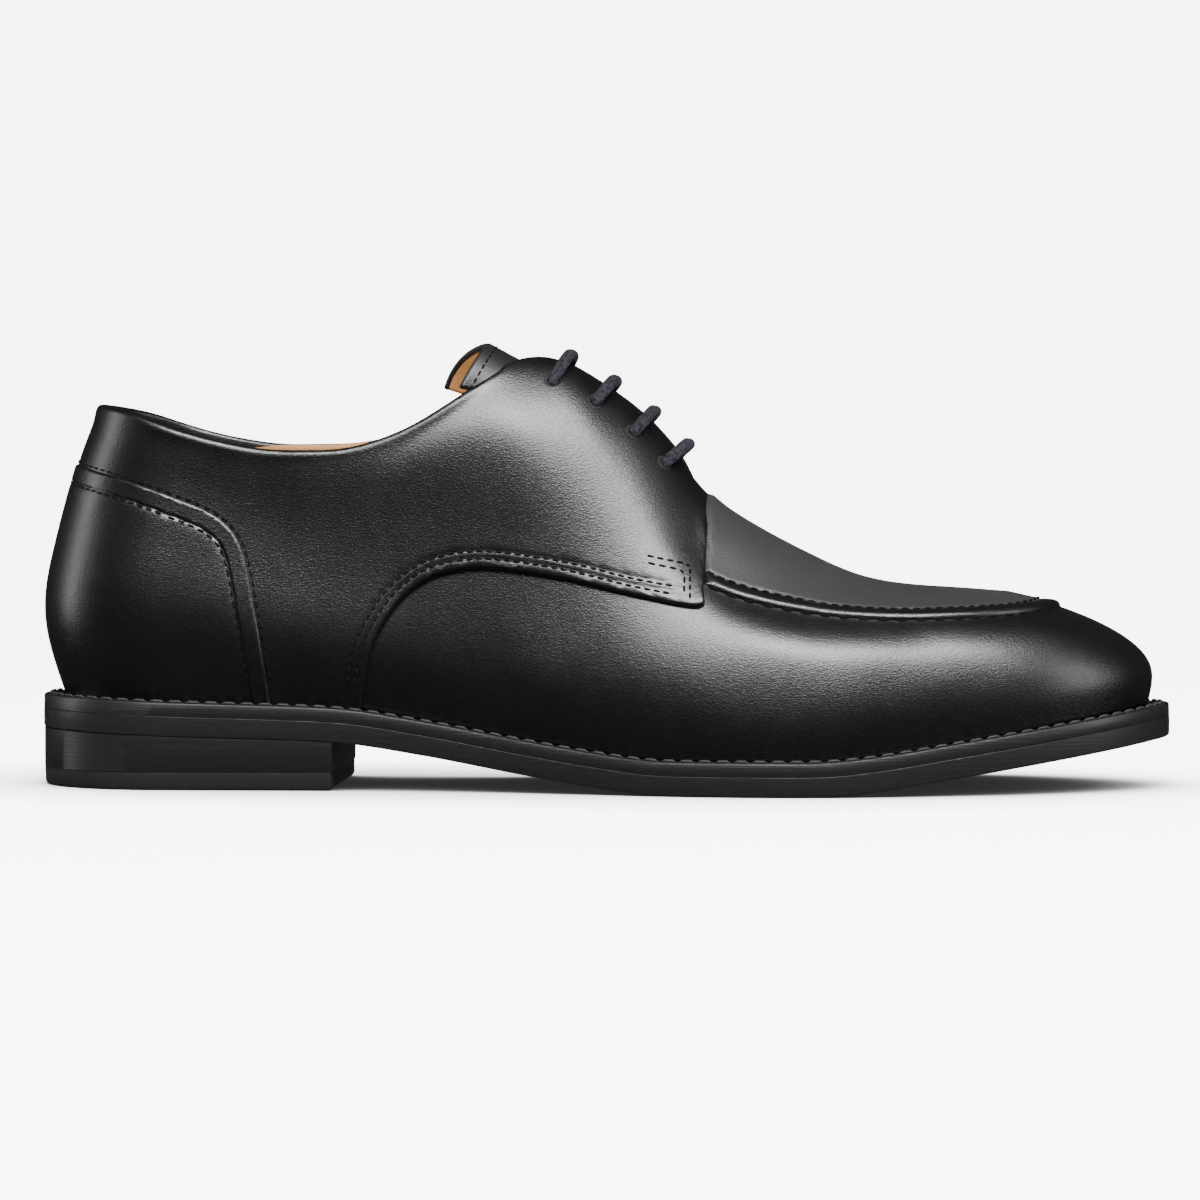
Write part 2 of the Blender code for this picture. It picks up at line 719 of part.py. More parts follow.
def make_eyelets(collection):
    """Cutters for the punched holes, one on each side of each lace row."""
    holes = []
    for crest in LACE_ROWS:
        for side in (-1, 1):
            seat, normal = over_last(lace_x(crest, EYELET_PLACE), EYELET_PLACE, side, 0.0)
            hole = bmesh.new()
            bmesh.ops.create_cone(
                hole, cap_ends=True, segments=10, radius1=EYELET_DIAMETER / 2,
                radius2=EYELET_DIAMETER / 2, depth=0.008,
            )
            mesh = bpy.data.meshes.new("eyelet_hole")
            hole.to_mesh(mesh)
            hole.free()
            cutter = as_cutter(new_object("eyelet_hole", mesh, collection))
            cutter.location = seat
            cutter.rotation_mode = "QUATERNION"
            cutter.rotation_quaternion = Vector(normal).to_track_quat("Z", "Y")
            holes.append((side, cutter))
    return holes


def make_laces(collection):
    """Four straight bars of round cord, each from hole to hole over the facings."""
    cord = leather("laces", (0.035, 0.034, 0.038), 0.8)
    for number, crest in enumerate(LACE_ROWS, 1):
        route = []
        for side in (-1, 1):
            half = []
            for further, lift in LACE_ROUTE:
                place = EYELET_PLACE + further
                half.append(over_last(lace_x(crest, place), place, side, lift * MM)[0])
            route += half if side == -1 else half[::-1]
        curve = bpy.data.curves.new(f"lace_bar_{number}", "CURVE")
        curve.dimensions = "3D"
        curve.bevel_depth = LACE_DIAMETER / 2
        curve.bevel_resolution = 2
        curve.use_fill_caps = True
        line = curve.splines.new("POLY")
        line.points.add(len(route) - 1)
        for point, place in zip(line.points, route):
            point.co = (*place, 1)
        new_object(curve.name, curve, collection, cord)


def inset_line(points, inset):
    """A line moved to its right-hand side, which is the counter's side, by some millimetres."""
    moved = []
    for i, point in enumerate(points):
        before = np.array(points[max(0, i - 1)], float)
        after = np.array(points[min(len(points) - 1, i + 1)], float)
        along = (after - before) / np.linalg.norm(after - before)
        moved.append(tuple(np.array(point) + inset * np.array((along[1], -along[0]))))
    return moved


clear_scene()
shoe = bpy.data.collections.new("apron toe derby")
tools = bpy.data.collections.new("cutters")
for each in (shoe, tools):
    bpy.context.scene.collection.children.link(each)
make_sole(shoe, tools)
make_upper(shoe)
room = make_counter(shoe, tools)
make_quarters(shoe, tools, room, make_eyelets(tools))
make_apron(shoe, tools)
make_tongue(shoe)
make_laces(shoe)
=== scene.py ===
"""The finished look of an apron toe derby, one right shoe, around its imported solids.

Metres, +Z up, the toe towards +X and the outer side towards -Y. The file follows the shoe as it is
put together: studio, bottom, upper, panels, seams, tongue and laces.
"""

import math

import bmesh
import bpy
import numpy as np
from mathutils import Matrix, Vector
from mathutils.bvhtree import BVHTree


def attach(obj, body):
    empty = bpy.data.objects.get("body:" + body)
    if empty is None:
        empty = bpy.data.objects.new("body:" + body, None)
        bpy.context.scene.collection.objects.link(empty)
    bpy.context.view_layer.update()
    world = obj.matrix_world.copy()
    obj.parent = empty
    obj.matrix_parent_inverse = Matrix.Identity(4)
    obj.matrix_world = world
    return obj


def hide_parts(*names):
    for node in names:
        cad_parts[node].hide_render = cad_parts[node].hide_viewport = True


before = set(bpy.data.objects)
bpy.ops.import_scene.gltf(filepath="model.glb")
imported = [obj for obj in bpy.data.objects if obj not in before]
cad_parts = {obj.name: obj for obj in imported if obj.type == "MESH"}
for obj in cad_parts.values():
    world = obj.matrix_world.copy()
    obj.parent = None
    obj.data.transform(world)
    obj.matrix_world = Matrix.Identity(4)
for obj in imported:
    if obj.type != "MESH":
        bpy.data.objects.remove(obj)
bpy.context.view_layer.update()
bpy.ops.object.select_all(action="DESELECT")

# Studio: a pale sweep behind and under the shoe that glows evenly, with a painted shadow on it near
# the shoe, a large soft light over it and a strip at each side, and a long lens low over the floor on
# the shoe's outer side.
CAMERA_AZIMUTH = 3.0
CAMERA_RISE = 1.85
CAMERA_DISTANCE = 1.437
CAMERA_TARGET = Vector((-0.0011, 0.0, 0.0497))
CAMERA_LENS = 160.0
SWEEP = dict(front=-2.2, back=1.5, side=3.0, radius=0.6, height=2.2)
SWEEP_BEND_STEPS = 12
SWEEP_COLOUR = (0.86, 0.86, 0.86)
SWEEP_GLOW = 4.6
# Painted shadow on the sweep near the shoe: how far it reaches, how sharply it fades, and the glow at its
# darkest
SHADOW_REACH = 0.07
SHADOW_DEPTH = 2.1
PAINTED_SHADOW_COLOUR = (0.006, 0.006, 0.006)
BLACK, WHITE = (0.0, 0.0, 0.0), (1.0, 1.0, 1.0)
ROOM_LIGHT = 0.035
LIGHTS = (
    # name, place, looks at, width, height, watts
    ("overhead", (0.16, -0.75, 1.20), (0.04, 0.0, 0.05), 1.4, 0.45, 74.0),
    ("toe strip", (1.25, -0.35, 0.45), (0.10, 0.0, 0.05), 0.35, 0.9, 8.0),
    ("heel strip", (-1.25, 0.10, 0.35), (-0.12, 0.0, 0.05), 0.30, 0.9, 5.0),
    ("front wash", (0.15, -1.25, 1.45), (0.05, 0.0, 0.05), 0.5, 0.3, 12.0),
)


class Value:
    """A socket of a material, so that sums on it add the nodes that work them out."""

    def __init__(self, finish, socket):
        self.finish = finish
        self.socket = socket

    def sum(self, operation, a, b):
        return self.finish.add("ShaderNodeMath", {"operation": operation}, {0: a, 1: b})

    def __add__(self, other):
        return self.sum("ADD", self, other)

    def __sub__(self, other):
        return self.sum("SUBTRACT", self, other)

    def __mul__(self, other):
        return self.sum("MULTIPLY", self, other)

    def __pow__(self, other):
        return self.sum("POWER", self, other)

    __radd__ = __add__
    __rmul__ = __mul__


class Finish:
    """One material: its shader's even values, and the nodes that vary over the surface."""

    def __init__(self, name, **even):
        self.material = bpy.data.materials.new(name)
        self.material.use_nodes = True
        self.tree = self.material.node_tree
        self.shader = self.tree.nodes["Principled BSDF"]
        for socket, value in even.items():
            self.set(socket.replace("_", " "), value)

    def set(self, socket, value):
        self.plug(self.shader.inputs[socket], value)

    def plug(self, socket, value):
        if isinstance(value, Value):
            self.tree.links.new(value.socket, socket)
        elif socket.type == "RGBA" and len(value) == 3:
            socket.default_value = (*value, 1)
        else:
            socket.default_value = value

    def add(self, kind, settings, inputs, output=0):
        node = self.tree.nodes.new(kind)
        for key, value in settings.items():
            setattr(node, key, value)
        for key, value in inputs.items():
            self.plug(node.inputs[key], value)
        return Value(self, node.outputs[output])

    def where(self):
        return self.add("ShaderNodeTexCoord", {}, {}, "Object")

    def noise(self, size, detail=3.0):
        """Soft noise from 0 to 1 whose lumps are about size metres across."""
        inputs = {"Vector": self.where(), "Scale": 1 / size, "Detail": detail, "Roughness": 0.55}
        return self.add("ShaderNodeTexNoise", {}, inputs)

    def blend(self, mask, a, b):
        settings = {"data_type": "RGBA"}
        return self.add("ShaderNodeMix", settings, {0: mask, 6: a, 7: b}, 2)

    def bump(self, height, depth):
        """Relief from a height of 0 to 1 that stands for depth metres."""
        inputs = {"Height": height, "Distance": depth, "Strength": 1.0}
        self.set("Normal", self.add("ShaderNodeBump", {}, inputs))


def mesh_object(name, points, faces, material=None):
    """A new object from points and faces, shaded smooth."""
    mesh = bpy.data.meshes.new(name)
    mesh.from_pydata([tuple(map(float, point)) for point in points], [], [tuple(f) for f in faces])
    mesh.shade_smooth()
    made = bpy.data.objects.new(name, mesh)
    bpy.context.scene.collection.objects.link(made)
    if material is not None:
        mesh.materials.append(material.material)
    return made


def face_outward(made):
    """The object's faces turned so that all of them point out of it."""
    turned = bmesh.new()
    turned.from_mesh(made.data)
    bmesh.ops.recalc_face_normals(turned, faces=turned.faces)
    turned.to_mesh(made.data)
    turned.free()


def second_finish(made, finish, flags):
    """Another material, on the faces whose flag is set."""
    made.data.materials.append(finish.material)
    made.data.polygons.foreach_set("material_index", [int(flag) for flag in flags])


def reach_of(points):
    """How far along a line each of its points lies."""
    return np.concatenate([[0], np.cumsum(np.linalg.norm(np.diff(points, axis=0), axis=1))])


def tube_faces(start, rings, sides, turned=False):
    """Faces of a closed tube of rings of points, numbered on from start; turned flips them over."""
    faces, last = [], start + (rings - 1) * sides
    for ring in range(start, last, sides):
        for k in range(sides):
            a, b = ring + k, ring + (k + 1) % sides
            faces.append((a, b, b + sides, a + sides) if turned else (a, a + sides, b + sides, b))
    ends = [list(range(start, start + sides)), list(range(last, last + sides))[::-1]]
    return faces + ([end[::-1] for end in ends] if turned else ends)


def aim(made, place, target):
    made.location = place
    made.rotation_euler = (Vector(target) - Vector(place)).to_track_quat("-Z", "Y").to_euler()


turn, rise = math.radians(CAMERA_AZIMUTH), math.radians(CAMERA_RISE)
lens = bpy.data.cameras.new("camera")
lens.lens = CAMERA_LENS
lens.clip_end = 20
camera = bpy.data.objects.new("camera", lens)
bpy.context.scene.collection.objects.link(camera)
away = Vector((math.sin(turn) * math.cos(rise), -math.cos(turn) * math.cos(rise), math.sin(rise)))
aim(camera, CAMERA_TARGET + CAMERA_DISTANCE * away, CAMERA_TARGET)
bpy.context.scene.camera = camera

for name, place, target, width, height, watts in LIGHTS:
    lamp = bpy.data.lights.new(name, "AREA")
    lamp.shape = "RECTANGLE"
    lamp.size, lamp.size_y, lamp.energy = width, height, watts
    fitting = bpy.data.objects.new(name, lamp)
    bpy.context.scene.collection.objects.link(fitting)
    aim(fitting, place, target)

world = bpy.data.worlds.new("studio")
bpy.context.scene.world = world
world.use_nodes = True
world.node_tree.nodes["Background"].inputs["Color"].default_value = (1, 1, 1, 1)
world.node_tree.nodes["Background"].inputs["Strength"].default_value = ROOM_LIGHT

profile = [(SWEEP["front"], 0.0)]
for i in range(SWEEP_BEND_STEPS + 1):
    angle = math.pi / 2 * i / SWEEP_BEND_STEPS
    profile.append((
        SWEEP["back"] + SWEEP["radius"] * math.sin(angle),
        SWEEP["radius"] * (1 - math.cos(angle)),
    ))
profile.append((SWEEP["back"] + SWEEP["radius"], SWEEP["height"]))
sweep_points = [(side * SWEEP["side"], y, z) for side in (-1, 1) for y, z in profile]
count = len(profile)
sweep_faces = [(i, i + count, i + count + 1, i + 1) for i in range(count - 1)]
paper = Finish(
    "paper", Base_Color=SWEEP_COLOUR, Roughness=0.9, Specular_IOR_Level=0.0,
    Emission_Strength=SWEEP_GLOW,
)
# Painted shadow: ambient occlusion darkens the paper's colour to black and its glow to near black under and
# around the shoe, standing in for the shoe's contact shadow.
painted_shadow_occlusion = paper.add("ShaderNodeAmbientOcclusion", {"samples": 16}, {"Distance": SHADOW_REACH})
outside_painted_shadow = painted_shadow_occlusion**SHADOW_DEPTH
paper.set("Base Color", paper.blend(outside_painted_shadow, BLACK, SWEEP_COLOUR))
paper.set("Emission Color", paper.blend(outside_painted_shadow, PAINTED_SHADOW_COLOUR, WHITE))
sweep = mesh_object("sweep", sweep_points, sweep_faces, paper)
sweep.visible_glossy = False


# Outsole: one leather plate cut to the shape of the foot, with a flat spot under the ball, an arch
# and toe spring. Its edge is trimmed, inked black and waxed.
LENGTH = 0.304
HEEL_AXIS_Y = 0.0024
PATTERN_LENGTH = 304.0
MM = 0.001
TINY = 1e-6
LAYER_ACROSS = 6
SHARP_FROM = math.radians(40)
# Steps of the outline round the heel, along the side and round the toe
SOLE_STEPS = (24, 110, 40)
HEEL_END = 0.11
TOE_END = 0.165
EASE = 5.0
SOLE_THICKNESS = 9.0
WELT_THICKNESS = 3.7
GAP = 0.3
# x from the heel's back, half width, swing to the inner side, in millimetres
SOLE_PLAN = (
    (0, 33.6, 0.0), (35, 33.8, 0.0), (60, 33.6, -0.4), (90, 32.4, -2.2), (115, 33.0, -4.6),
    (140, 37.0, -6.6), (165, 44.2, -6.2), (185, 49.6, -4.7), (200, 51.9, -3.4), (215, 52.3, -2.1),
    (235, 49.2, -0.8), (255, 44.9, 0.4), (275, 41.2, 1.3), (290, 39.2, 1.8), (304, 37.0, 2.0),
)
# x, height of the underside
SOLE_SIDE = (
    (0, 15.6), (40, 14.2), (81.5, 12.9), (103, 10.0), (130, 5.3), (152, 1.9), (170, 0.0),
    (210, 0.0), (224, 1.2), (245, 4.4), (274, 9.0), (304, 13.8),
)


def read_rows(rows, column, x):
    """A cubic through a table's column that never swings past its rows, at each x."""
    xs = np.array([row[0] for row in rows], float)
    ys = np.array([row[column] for row in rows], float)
    step = np.diff(xs)
    rise = np.diff(ys) / step
    slope = np.zeros(len(xs))
    for i in range(1, len(xs) - 1):
        if rise[i - 1] * rise[i] > 0:
            before = step[i - 1] + 2 * step[i]
            after = 2 * step[i - 1] + step[i]
            slope[i] = (before + after) / (before / rise[i - 1] + after / rise[i])
    slope[0], slope[-1] = rise[0], rise[-1]
    x = np.clip(x, xs[0], xs[-1])
    i = np.clip(np.searchsorted(xs, x, side="right") - 1, 0, len(step) - 1)
    s = (x - xs[i]) / step[i]
    return (
        ys[i] * (1 + 2 * s) * (1 - s) ** 2
        + ys[i + 1] * s * s * (3 - 2 * s)
        + slope[i] * step[i] * s * (1 - s) ** 2
        + slope[i + 1] * step[i] * s * s * (s - 1)
    )


def eased(rows, column, x):
    """The same reading, averaged over a few millimetres so that no row shows as a kink."""
    x = np.asarray(x, float)
    near = read_rows(rows, column, x - EASE) + read_rows(rows, column, x + EASE)
    return 0.25 * near + 0.5 * read_rows(rows, column, x)


def end_rounding(share):
    """1 along the sides, falling to 0 round the heel and the toe as an ellipse does."""
    heel = np.clip(1 - share / HEEL_END, 0, 1)
    toe = np.clip((share - 1 + TOE_END) / TOE_END, 0, 1)
    return np.sqrt(np.maximum(0, 1 - heel**2)) * np.sqrt(np.maximum(0, 1 - toe**2))


def stations(heel_steps, side_steps, toe_steps):
    """Shares of the length, close together round the two ends."""
    heel = HEEL_END * (1 - np.cos(np.linspace(0, math.pi / 2, heel_steps, endpoint=False)))
    side = np.linspace(HEEL_END, 1 - TOE_END, side_steps, endpoint=False)
    toe = 1 - TOE_END * (1 - np.sin(np.linspace(0, math.pi / 2, toe_steps + 1)))
    return np.concatenate([heel, side, toe])


def to_frame(x, y, z):
    """Pattern millimetres to the shoe's frame, as rows of points."""
    x, y, z = np.broadcast_arrays(np.asarray(x, float), y, z)
    return np.stack([x * MM - LENGTH / 2, y * MM + HEEL_AXIS_Y, z * MM], axis=-1)


def sole_under(x):
    return eased(SOLE_SIDE, 1, x)


def welt_top(x):
    return sole_under(x) + SOLE_THICKNESS


def sole_rows(inset, last=None):
    """Rows across the bottom's outline, set in by some millimetres: x, outer edge, inner edge."""
    share = stations(*SOLE_STEPS)
    if last is not None:
        share = share[share * PATTERN_LENGTH < last - 1]
    xs = inset + share * (PATTERN_LENGTH - 2 * inset)
    if last is not None:
        xs = np.append(xs, last)
        share = (xs - inset) / (PATTERN_LENGTH - 2 * inset)
    half = (eased(SOLE_PLAN, 1, xs) - inset) * end_rounding(share)
    swing = eased(SOLE_PLAN, 2, xs)
    return xs, swing - half, swing + half


def ring_of(rows):
    """The outline's points in order, up the outer side and back down the inner."""
    xs, outer, inner = rows
    ring = [(x, y) for x, y in zip(xs, outer)]
    ring += [(x, y) for x, y in zip(xs[::-1], inner[::-1]) if abs(y - outer[list(xs).index(x)]) > TINY]
    return np.array(ring)


def ground(x):
    return 0 * x


def layer(name, levels, material):
    """A closed plate built up of outlines. A level is how far its outline is set in, the line it
    follows seen from the side, its height over that line and, for the heel, where it ends.

    The first level is closed by a bottom and the last by a top, and the walls join the levels.
    """
    points, faces, outlines, starts = [], [], [], []
    for inset, line, over, *end in levels:
        rows, height = sole_rows(inset, *end), lambda x, line=line, over=over: line(x) + over
        outlines.append((rows, height))
        ring = ring_of(rows)
        starts.append(len(points))
        points += list(to_frame(ring[:, 0], ring[:, 1], height(ring[:, 0])))
    size = len(ring)
    for low, high in zip(starts, starts[1:]):
        for i in range(size):
            j = (i + 1) % size
            faces.append((low + i, low + j, high + j, high + i))
    for start, (rows, height), flip in (
        (starts[0], outlines[0], True), (starts[-1], outlines[-1], False),
    ):
        xs, outer, inner = rows
        count = len(xs)
        line_of = []
        for k in range(count):
            first = start + k
            ends_meet = abs(inner[k] - outer[k]) < TINY
            if ends_meet:
                line_of.append([first])
                continue
            last_index = start + size - k - (0 if abs(inner[0] - outer[0]) < TINY else 1)
            line = [first]
            for s in range(1, LAYER_ACROSS):
                y = outer[k] + (inner[k] - outer[k]) * s / LAYER_ACROSS
                line.append(len(points))
                points.append(to_frame(xs[k], y, height(xs[k : k + 1])[0]))
            line.append(last_index)
            line_of.append(line)
        for back, front in zip(line_of, line_of[1:]):
            if len(back) == 1 and len(front) == 1:
                continue
            for s in range(LAYER_ACROSS):
                corners = [
                    back[min(s, len(back) - 1)], front[min(s, len(front) - 1)],
                    front[min(s + 1, len(front) - 1)], back[min(s + 1, len(back) - 1)],
                ]
                corners = list(dict.fromkeys(corners))
                faces.append(corners[::-1] if flip else corners)
    made = mesh_object(name, points, faces, material)
    face_outward(made)
    made.data.set_sharp_from_angle(angle=SHARP_FROM)
    return made


def edge_finish():
    """Inked and waxed leather edge, with the fine lines that the trimming wheel leaves."""
    made = Finish(
        "sole_edge", Base_Color=(0.0030, 0.0029, 0.0031), Coat_Weight=0.22, Coat_Roughness=0.32,
        Specular_IOR_Level=0.3,
    )
    lines = made.add(
        "ShaderNodeTexNoise", {},
        {"Vector": made.add("ShaderNodeMapping", {}, {"Vector": made.where(), "Scale": (40, 40, 2600)}),
         "Scale": 1.0, "Detail": 2.0},
    )
    made.set("Roughness", 0.36 + 0.22 * lines)
    made.bump(lines + 0.6 * made.noise(0.0007), 0.00010)
    return made


edge_ink = edge_finish()
welt_base = SOLE_THICKNESS - WELT_THICKNESS
outsole = layer(
    "outsole",
    [
        (0.6, sole_under, 0.0), (0.15, sole_under, 0.25), (0.0, sole_under, 0.8),
        (0.0, sole_under, welt_base - 0.15), (0.15, sole_under, welt_base),
    ],
    edge_ink,
)
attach(outsole, "root")
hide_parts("outsole")

# Welt: a leather strip sewn to the upper all the way round, a little narrower than the outsole,
# with its top edge creased by the wheel so that it catches a thin line of light.
WELT_SEAM = 2.0
welt = layer(
    "welt",
    [
        (0.18, sole_under, welt_base), (0.06, sole_under, welt_base + 0.15),
        (0.10, welt_top, -0.65), (0.30, welt_top, -0.2), (0.75, welt_top, 0.0),
        (WELT_SEAM - 0.5, welt_top, 0.0), (WELT_SEAM, welt_top, -0.2), (WELT_SEAM + 0.5, welt_top, 0.0),
    ],
    edge_ink,
)
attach(welt, "root")
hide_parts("welt")


# Heel: a stack of leather lifts trimmed and inked with the sole's edge, on a rubber top piece.
HEEL_LENGTH = 81.5
TOP_PIECE_THICKNESS = 4.7
heel_stack = layer(
    "heel_stack",
    [
        (0.35, ground, TOP_PIECE_THICKNESS, HEEL_LENGTH - 0.1),
        (0.2, ground, TOP_PIECE_THICKNESS + 0.2, HEEL_LENGTH),
        (0.2, sole_under, -0.12, HEEL_LENGTH),
        (0.35, sole_under, 0.0, HEEL_LENGTH - 0.1),
    ],
    edge_ink,
)
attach(heel_stack, "root")
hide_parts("heel_stack")

rubber = Finish("heel_rubber", Base_Color=(0.0035, 0.0035, 0.0036), Roughness=0.7, Specular_IOR_Level=0.3)
rubber.bump(rubber.noise(0.0006), 0.00006)
breast = HEEL_LENGTH - GAP
top_piece = layer(
    "heel_top_piece",
    [
        (1.4, ground, 0.0, breast - 0.9), (0.7, ground, 0.35, breast - 0.3), (0.4, ground, 1.1, breast),
        (0.25, ground, TOP_PIECE_THICKNESS - 0.15, breast),
        (0.4, ground, TOP_PIECE_THICKNESS, breast - 0.2),
    ],
    rubber,
)
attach(top_piece, "root")
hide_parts("heel_top_piece")


# Upper: vamp, backing and lining pulled over the last as one wall, black calf outside and tan
# leather inside, with the black turned over the collar's edge.
# Lines drawn round the last from heel to toe, lowest first. Each has the place of its two ends, its
# height across the wall from 0 at the welt to 1 at the top, how far it follows the sole's swing, and
# rows of x, half width, height. The feather's height comes from the welt instead.
FEATHER = dict(ends=(8.0, 298.2), place=0.0, swing=1.0, rows=(
    (0, 26.6, 0), (35, 26.9, 0), (60, 26.9, 0), (90, 26.8, 0), (115, 27.9, 0), (140, 31.8, 0),
    (165, 39.0, 0), (185, 44.3, 0), (200, 46.6, 0), (215, 47.0, 0), (235, 43.9, 0),
    (255, 39.6, 0), (275, 36.2, 0), (290, 34.2, 0), (304, 32.0, 0),
))
BELLY = dict(ends=(2.7, 299.4), place=0.15, swing=0.96, rows=(
    (0, 30.4, 44), (35, 30.6, 43), (60, 30.4, 40), (90, 29.6, 35.5), (115, 30.0, 31.5),
    (140, 33.6, 27), (165, 40.4, 22.5), (185, 45.4, 20), (200, 47.6, 19.2), (215, 48.1, 19.6),
    (235, 45.0, 21.6), (255, 40.6, 24.2), (275, 37.2, 27.2), (304, 33.0, 30),
))
WALLS = dict(ends=(4.7, 296.4), place=0.32, swing=0.82, rows=(
    (0, 28.6, 63), (35, 28.9, 61.3), (60, 28.6, 57), (90, 28.2, 51.5), (115, 28.9, 48),
    (140, 32.0, 43), (165, 38.4, 37.2), (185, 43.4, 33.6), (200, 45.6, 32), (215, 46.1, 31.3),
    (235, 43.1, 32), (255, 38.6, 33.6), (275, 35.0, 35.4), (304, 30.5, 36.6),
))
SHOULDER = dict(ends=(9.6, 286.2), place=0.52, swing=0.6, rows=(
    (0, 25.4, 82.5), (35, 26.0, 78.3), (60, 26.2, 72.6), (90, 26.1, 69.5), (115, 26.4, 70),
    (140, 28.2, 66), (165, 32.8, 54.5), (185, 37.8, 46.6), (200, 40.3, 43.2), (215, 40.9, 41.3),
    (235, 38.0, 41), (255, 34.6, 41.8), (275, 32.0, 43), (290, 30.0, 43.5),
))
SEAM = dict(ends=(12.9, 274.6), place=0.70, swing=0.4, rows=(
    (0, 23.9, 93.4), (35, 24.9, 88), (60, 25.5, 82.3), (90, 25.3, 82.3), (115, 24.6, 90.5),
    (127, 23.9, 93.5), (140, 23.5, 90), (165, 25.6, 71.2), (182, 27.4, 57.3), (200, 29.8, 51),
    (215, 30.8, 48), (235, 30.0, 46.7), (255, 28.6, 47.1), (275, 27.0, 48.2),
))
CROWN = dict(ends=(15.0, 267.5), place=0.86, swing=0.2, rows=(
    (0, 23.5, 99.8), (35, 24.6, 93.3), (60, 25.4, 86.8), (90, 25.0, 88), (115, 22.2, 100),
    (127, 18.2, 106.8), (140, 15.6, 106.6), (151, 15.4, 99.8), (165, 15.5, 88), (180, 15.6, 71.4),
    (200, 16.0, 60.2), (215, 16.4, 54.4), (235, 16.2, 51.2), (255, 15.4, 50.4), (268, 14.6, 49.8),
))
TOP = dict(ends=(16.3, 260.5), place=1.0, swing=0.0, rows=(
    (0, 23.7, 104.6), (24, 24.3, 101), (38, 25.0, 96), (52, 25.4, 92.3), (66, 25.6, 90.1),
    (81, 25.3, 90.2), (95, 24.6, 93.6), (104, 23.9, 97.8), (112, 22.8, 103), (120, 19.8, 108.2),
    (127, 14.6, 112.2), (131, 10.6, 113.8), (136, 6.8, 114.0), (142, 5.2, 112.2),
    (151, 4.8, 106.8), (162, 4.3, 98.8), (168, 3.8, 92.8), (174, 3.0, 85.2), (180, 3.0, 77.7),
    (194, 3.0, 68.4), (205, 3.0, 62.6), (223, 3.0, 55), (235, 3.0, 53.2), (250, 3.0, 52.3),
    (262, 3.0, 51.3),
))
LINES = (FEATHER, BELLY, WALLS, SHOULDER, SEAM, CROWN, TOP)
SLOT_END = 172.0
CLOSED_FROM = 112.0
CLOSED_AT = 142.0
WALL = 1.8
LINING_FROM = 0.3
HEEL_TURN_IN = 2.6
INNER_COLLAR_RISE = 1.5
INNER_COLLAR_CENTRE = 76
INNER_COLLAR_SPREAD = 28
LAST_STEPS = (26, 120, 46)
ACROSS = 66
# Where the lining starts to reach up to the collar, and over what length, from the heel's back
LINING_RISE = (50, 14)
RIM_LEVEL = 0.8
RIM_RADIUS = 1.4
# Columns kept with every point of the shell: its place, its normal, how far it is under the top
# edge, how far over the apron's seam, and where it is in the pattern, all but the first in mm
PLACE, NORMAL, DOWN, UP, PATTERN, EDGE = slice(0, 3), slice(3, 6), 6, 7, slice(8, 11), 11
PATTERN_X = 8
WELD_WITHIN = 2e-6
SNAP_WITHIN = 0.06


def line_points(line, share, side):
    """One of the last's lines at every share of its length."""
    heel, toe = line["ends"]
    x = heel + share * (toe - heel)
    half = eased(line["rows"], 1, x) * end_rounding(share)
    height = eased(line["rows"], 2, x)
    if line is FEATHER:
        height = welt_top(x) + GAP
    if line is TOP:
        half = np.where(x > SLOT_END, 0.0, half)
        if side > 0:
            off_centre = (x - INNER_COLLAR_CENTRE) / INNER_COLLAR_SPREAD
            height = height + INNER_COLLAR_RISE * np.exp(-(off_centre**2))
    return x, line["swing"] * eased(SOLE_PLAN, 2, x) + side * half, height


def spline_across(values, end_slope, at):
    """Natural cubic through the lines' values, with a set slope at the top when one is given."""
    places = np.array([line["place"] for line in LINES])
    n, step = len(places), np.diff(places)
    matrix = np.eye(n)
    right = np.zeros_like(values)
    for i in range(1, n - 1):
        matrix[i, i - 1 : i + 2] = step[i - 1], 2 * (step[i - 1] + step[i]), step[i]
        ahead = (values[i + 1] - values[i]) / step[i]
        right[i] = 6 * (ahead - (values[i] - values[i - 1]) / step[i - 1])
    if end_slope is not None:
        matrix[-1, -2:] = step[-1], 2 * step[-1]
        right[-1] = 6 * (end_slope - (values[-1] - values[-2]) / step[-1])
    bend = np.linalg.solve(matrix, right)
    i = np.clip(np.searchsorted(places, at, side="right") - 1, 0, n - 2)
    width = step[i][:, None]
    a = (places[i + 1] - at)[:, None] / width
    b = (at - places[i])[:, None] / width
    curve = ((a**3 - a) * bend[i] + (b**3 - b) * bend[i + 1]) * width**2 / 6
    return a * values[i] + b * values[i + 1] + curve


def last_surface(share, at, side):
    """Pattern points of the last, one row of the result for each place across the wall."""
    share, at = np.atleast_1d(share), np.atleast_1d(at)
    x, y, z = (np.array(v) for v in zip(*(line_points(line, share, side) for line in LINES)))
    closed = np.clip((x[-1] - CLOSED_FROM) / (CLOSED_AT - CLOSED_FROM), 0, 1)
    run = LINES[-1]["place"] - LINES[-2]["place"]
    slope = [(1 - closed) * (v[-1] - v[-2]) / run for v in (x, z)]
    across = (spline_across(x, slope[0], at), spline_across(y, None, at), spline_across(z, slope[1], at))
    return np.stack(across, axis=-1)


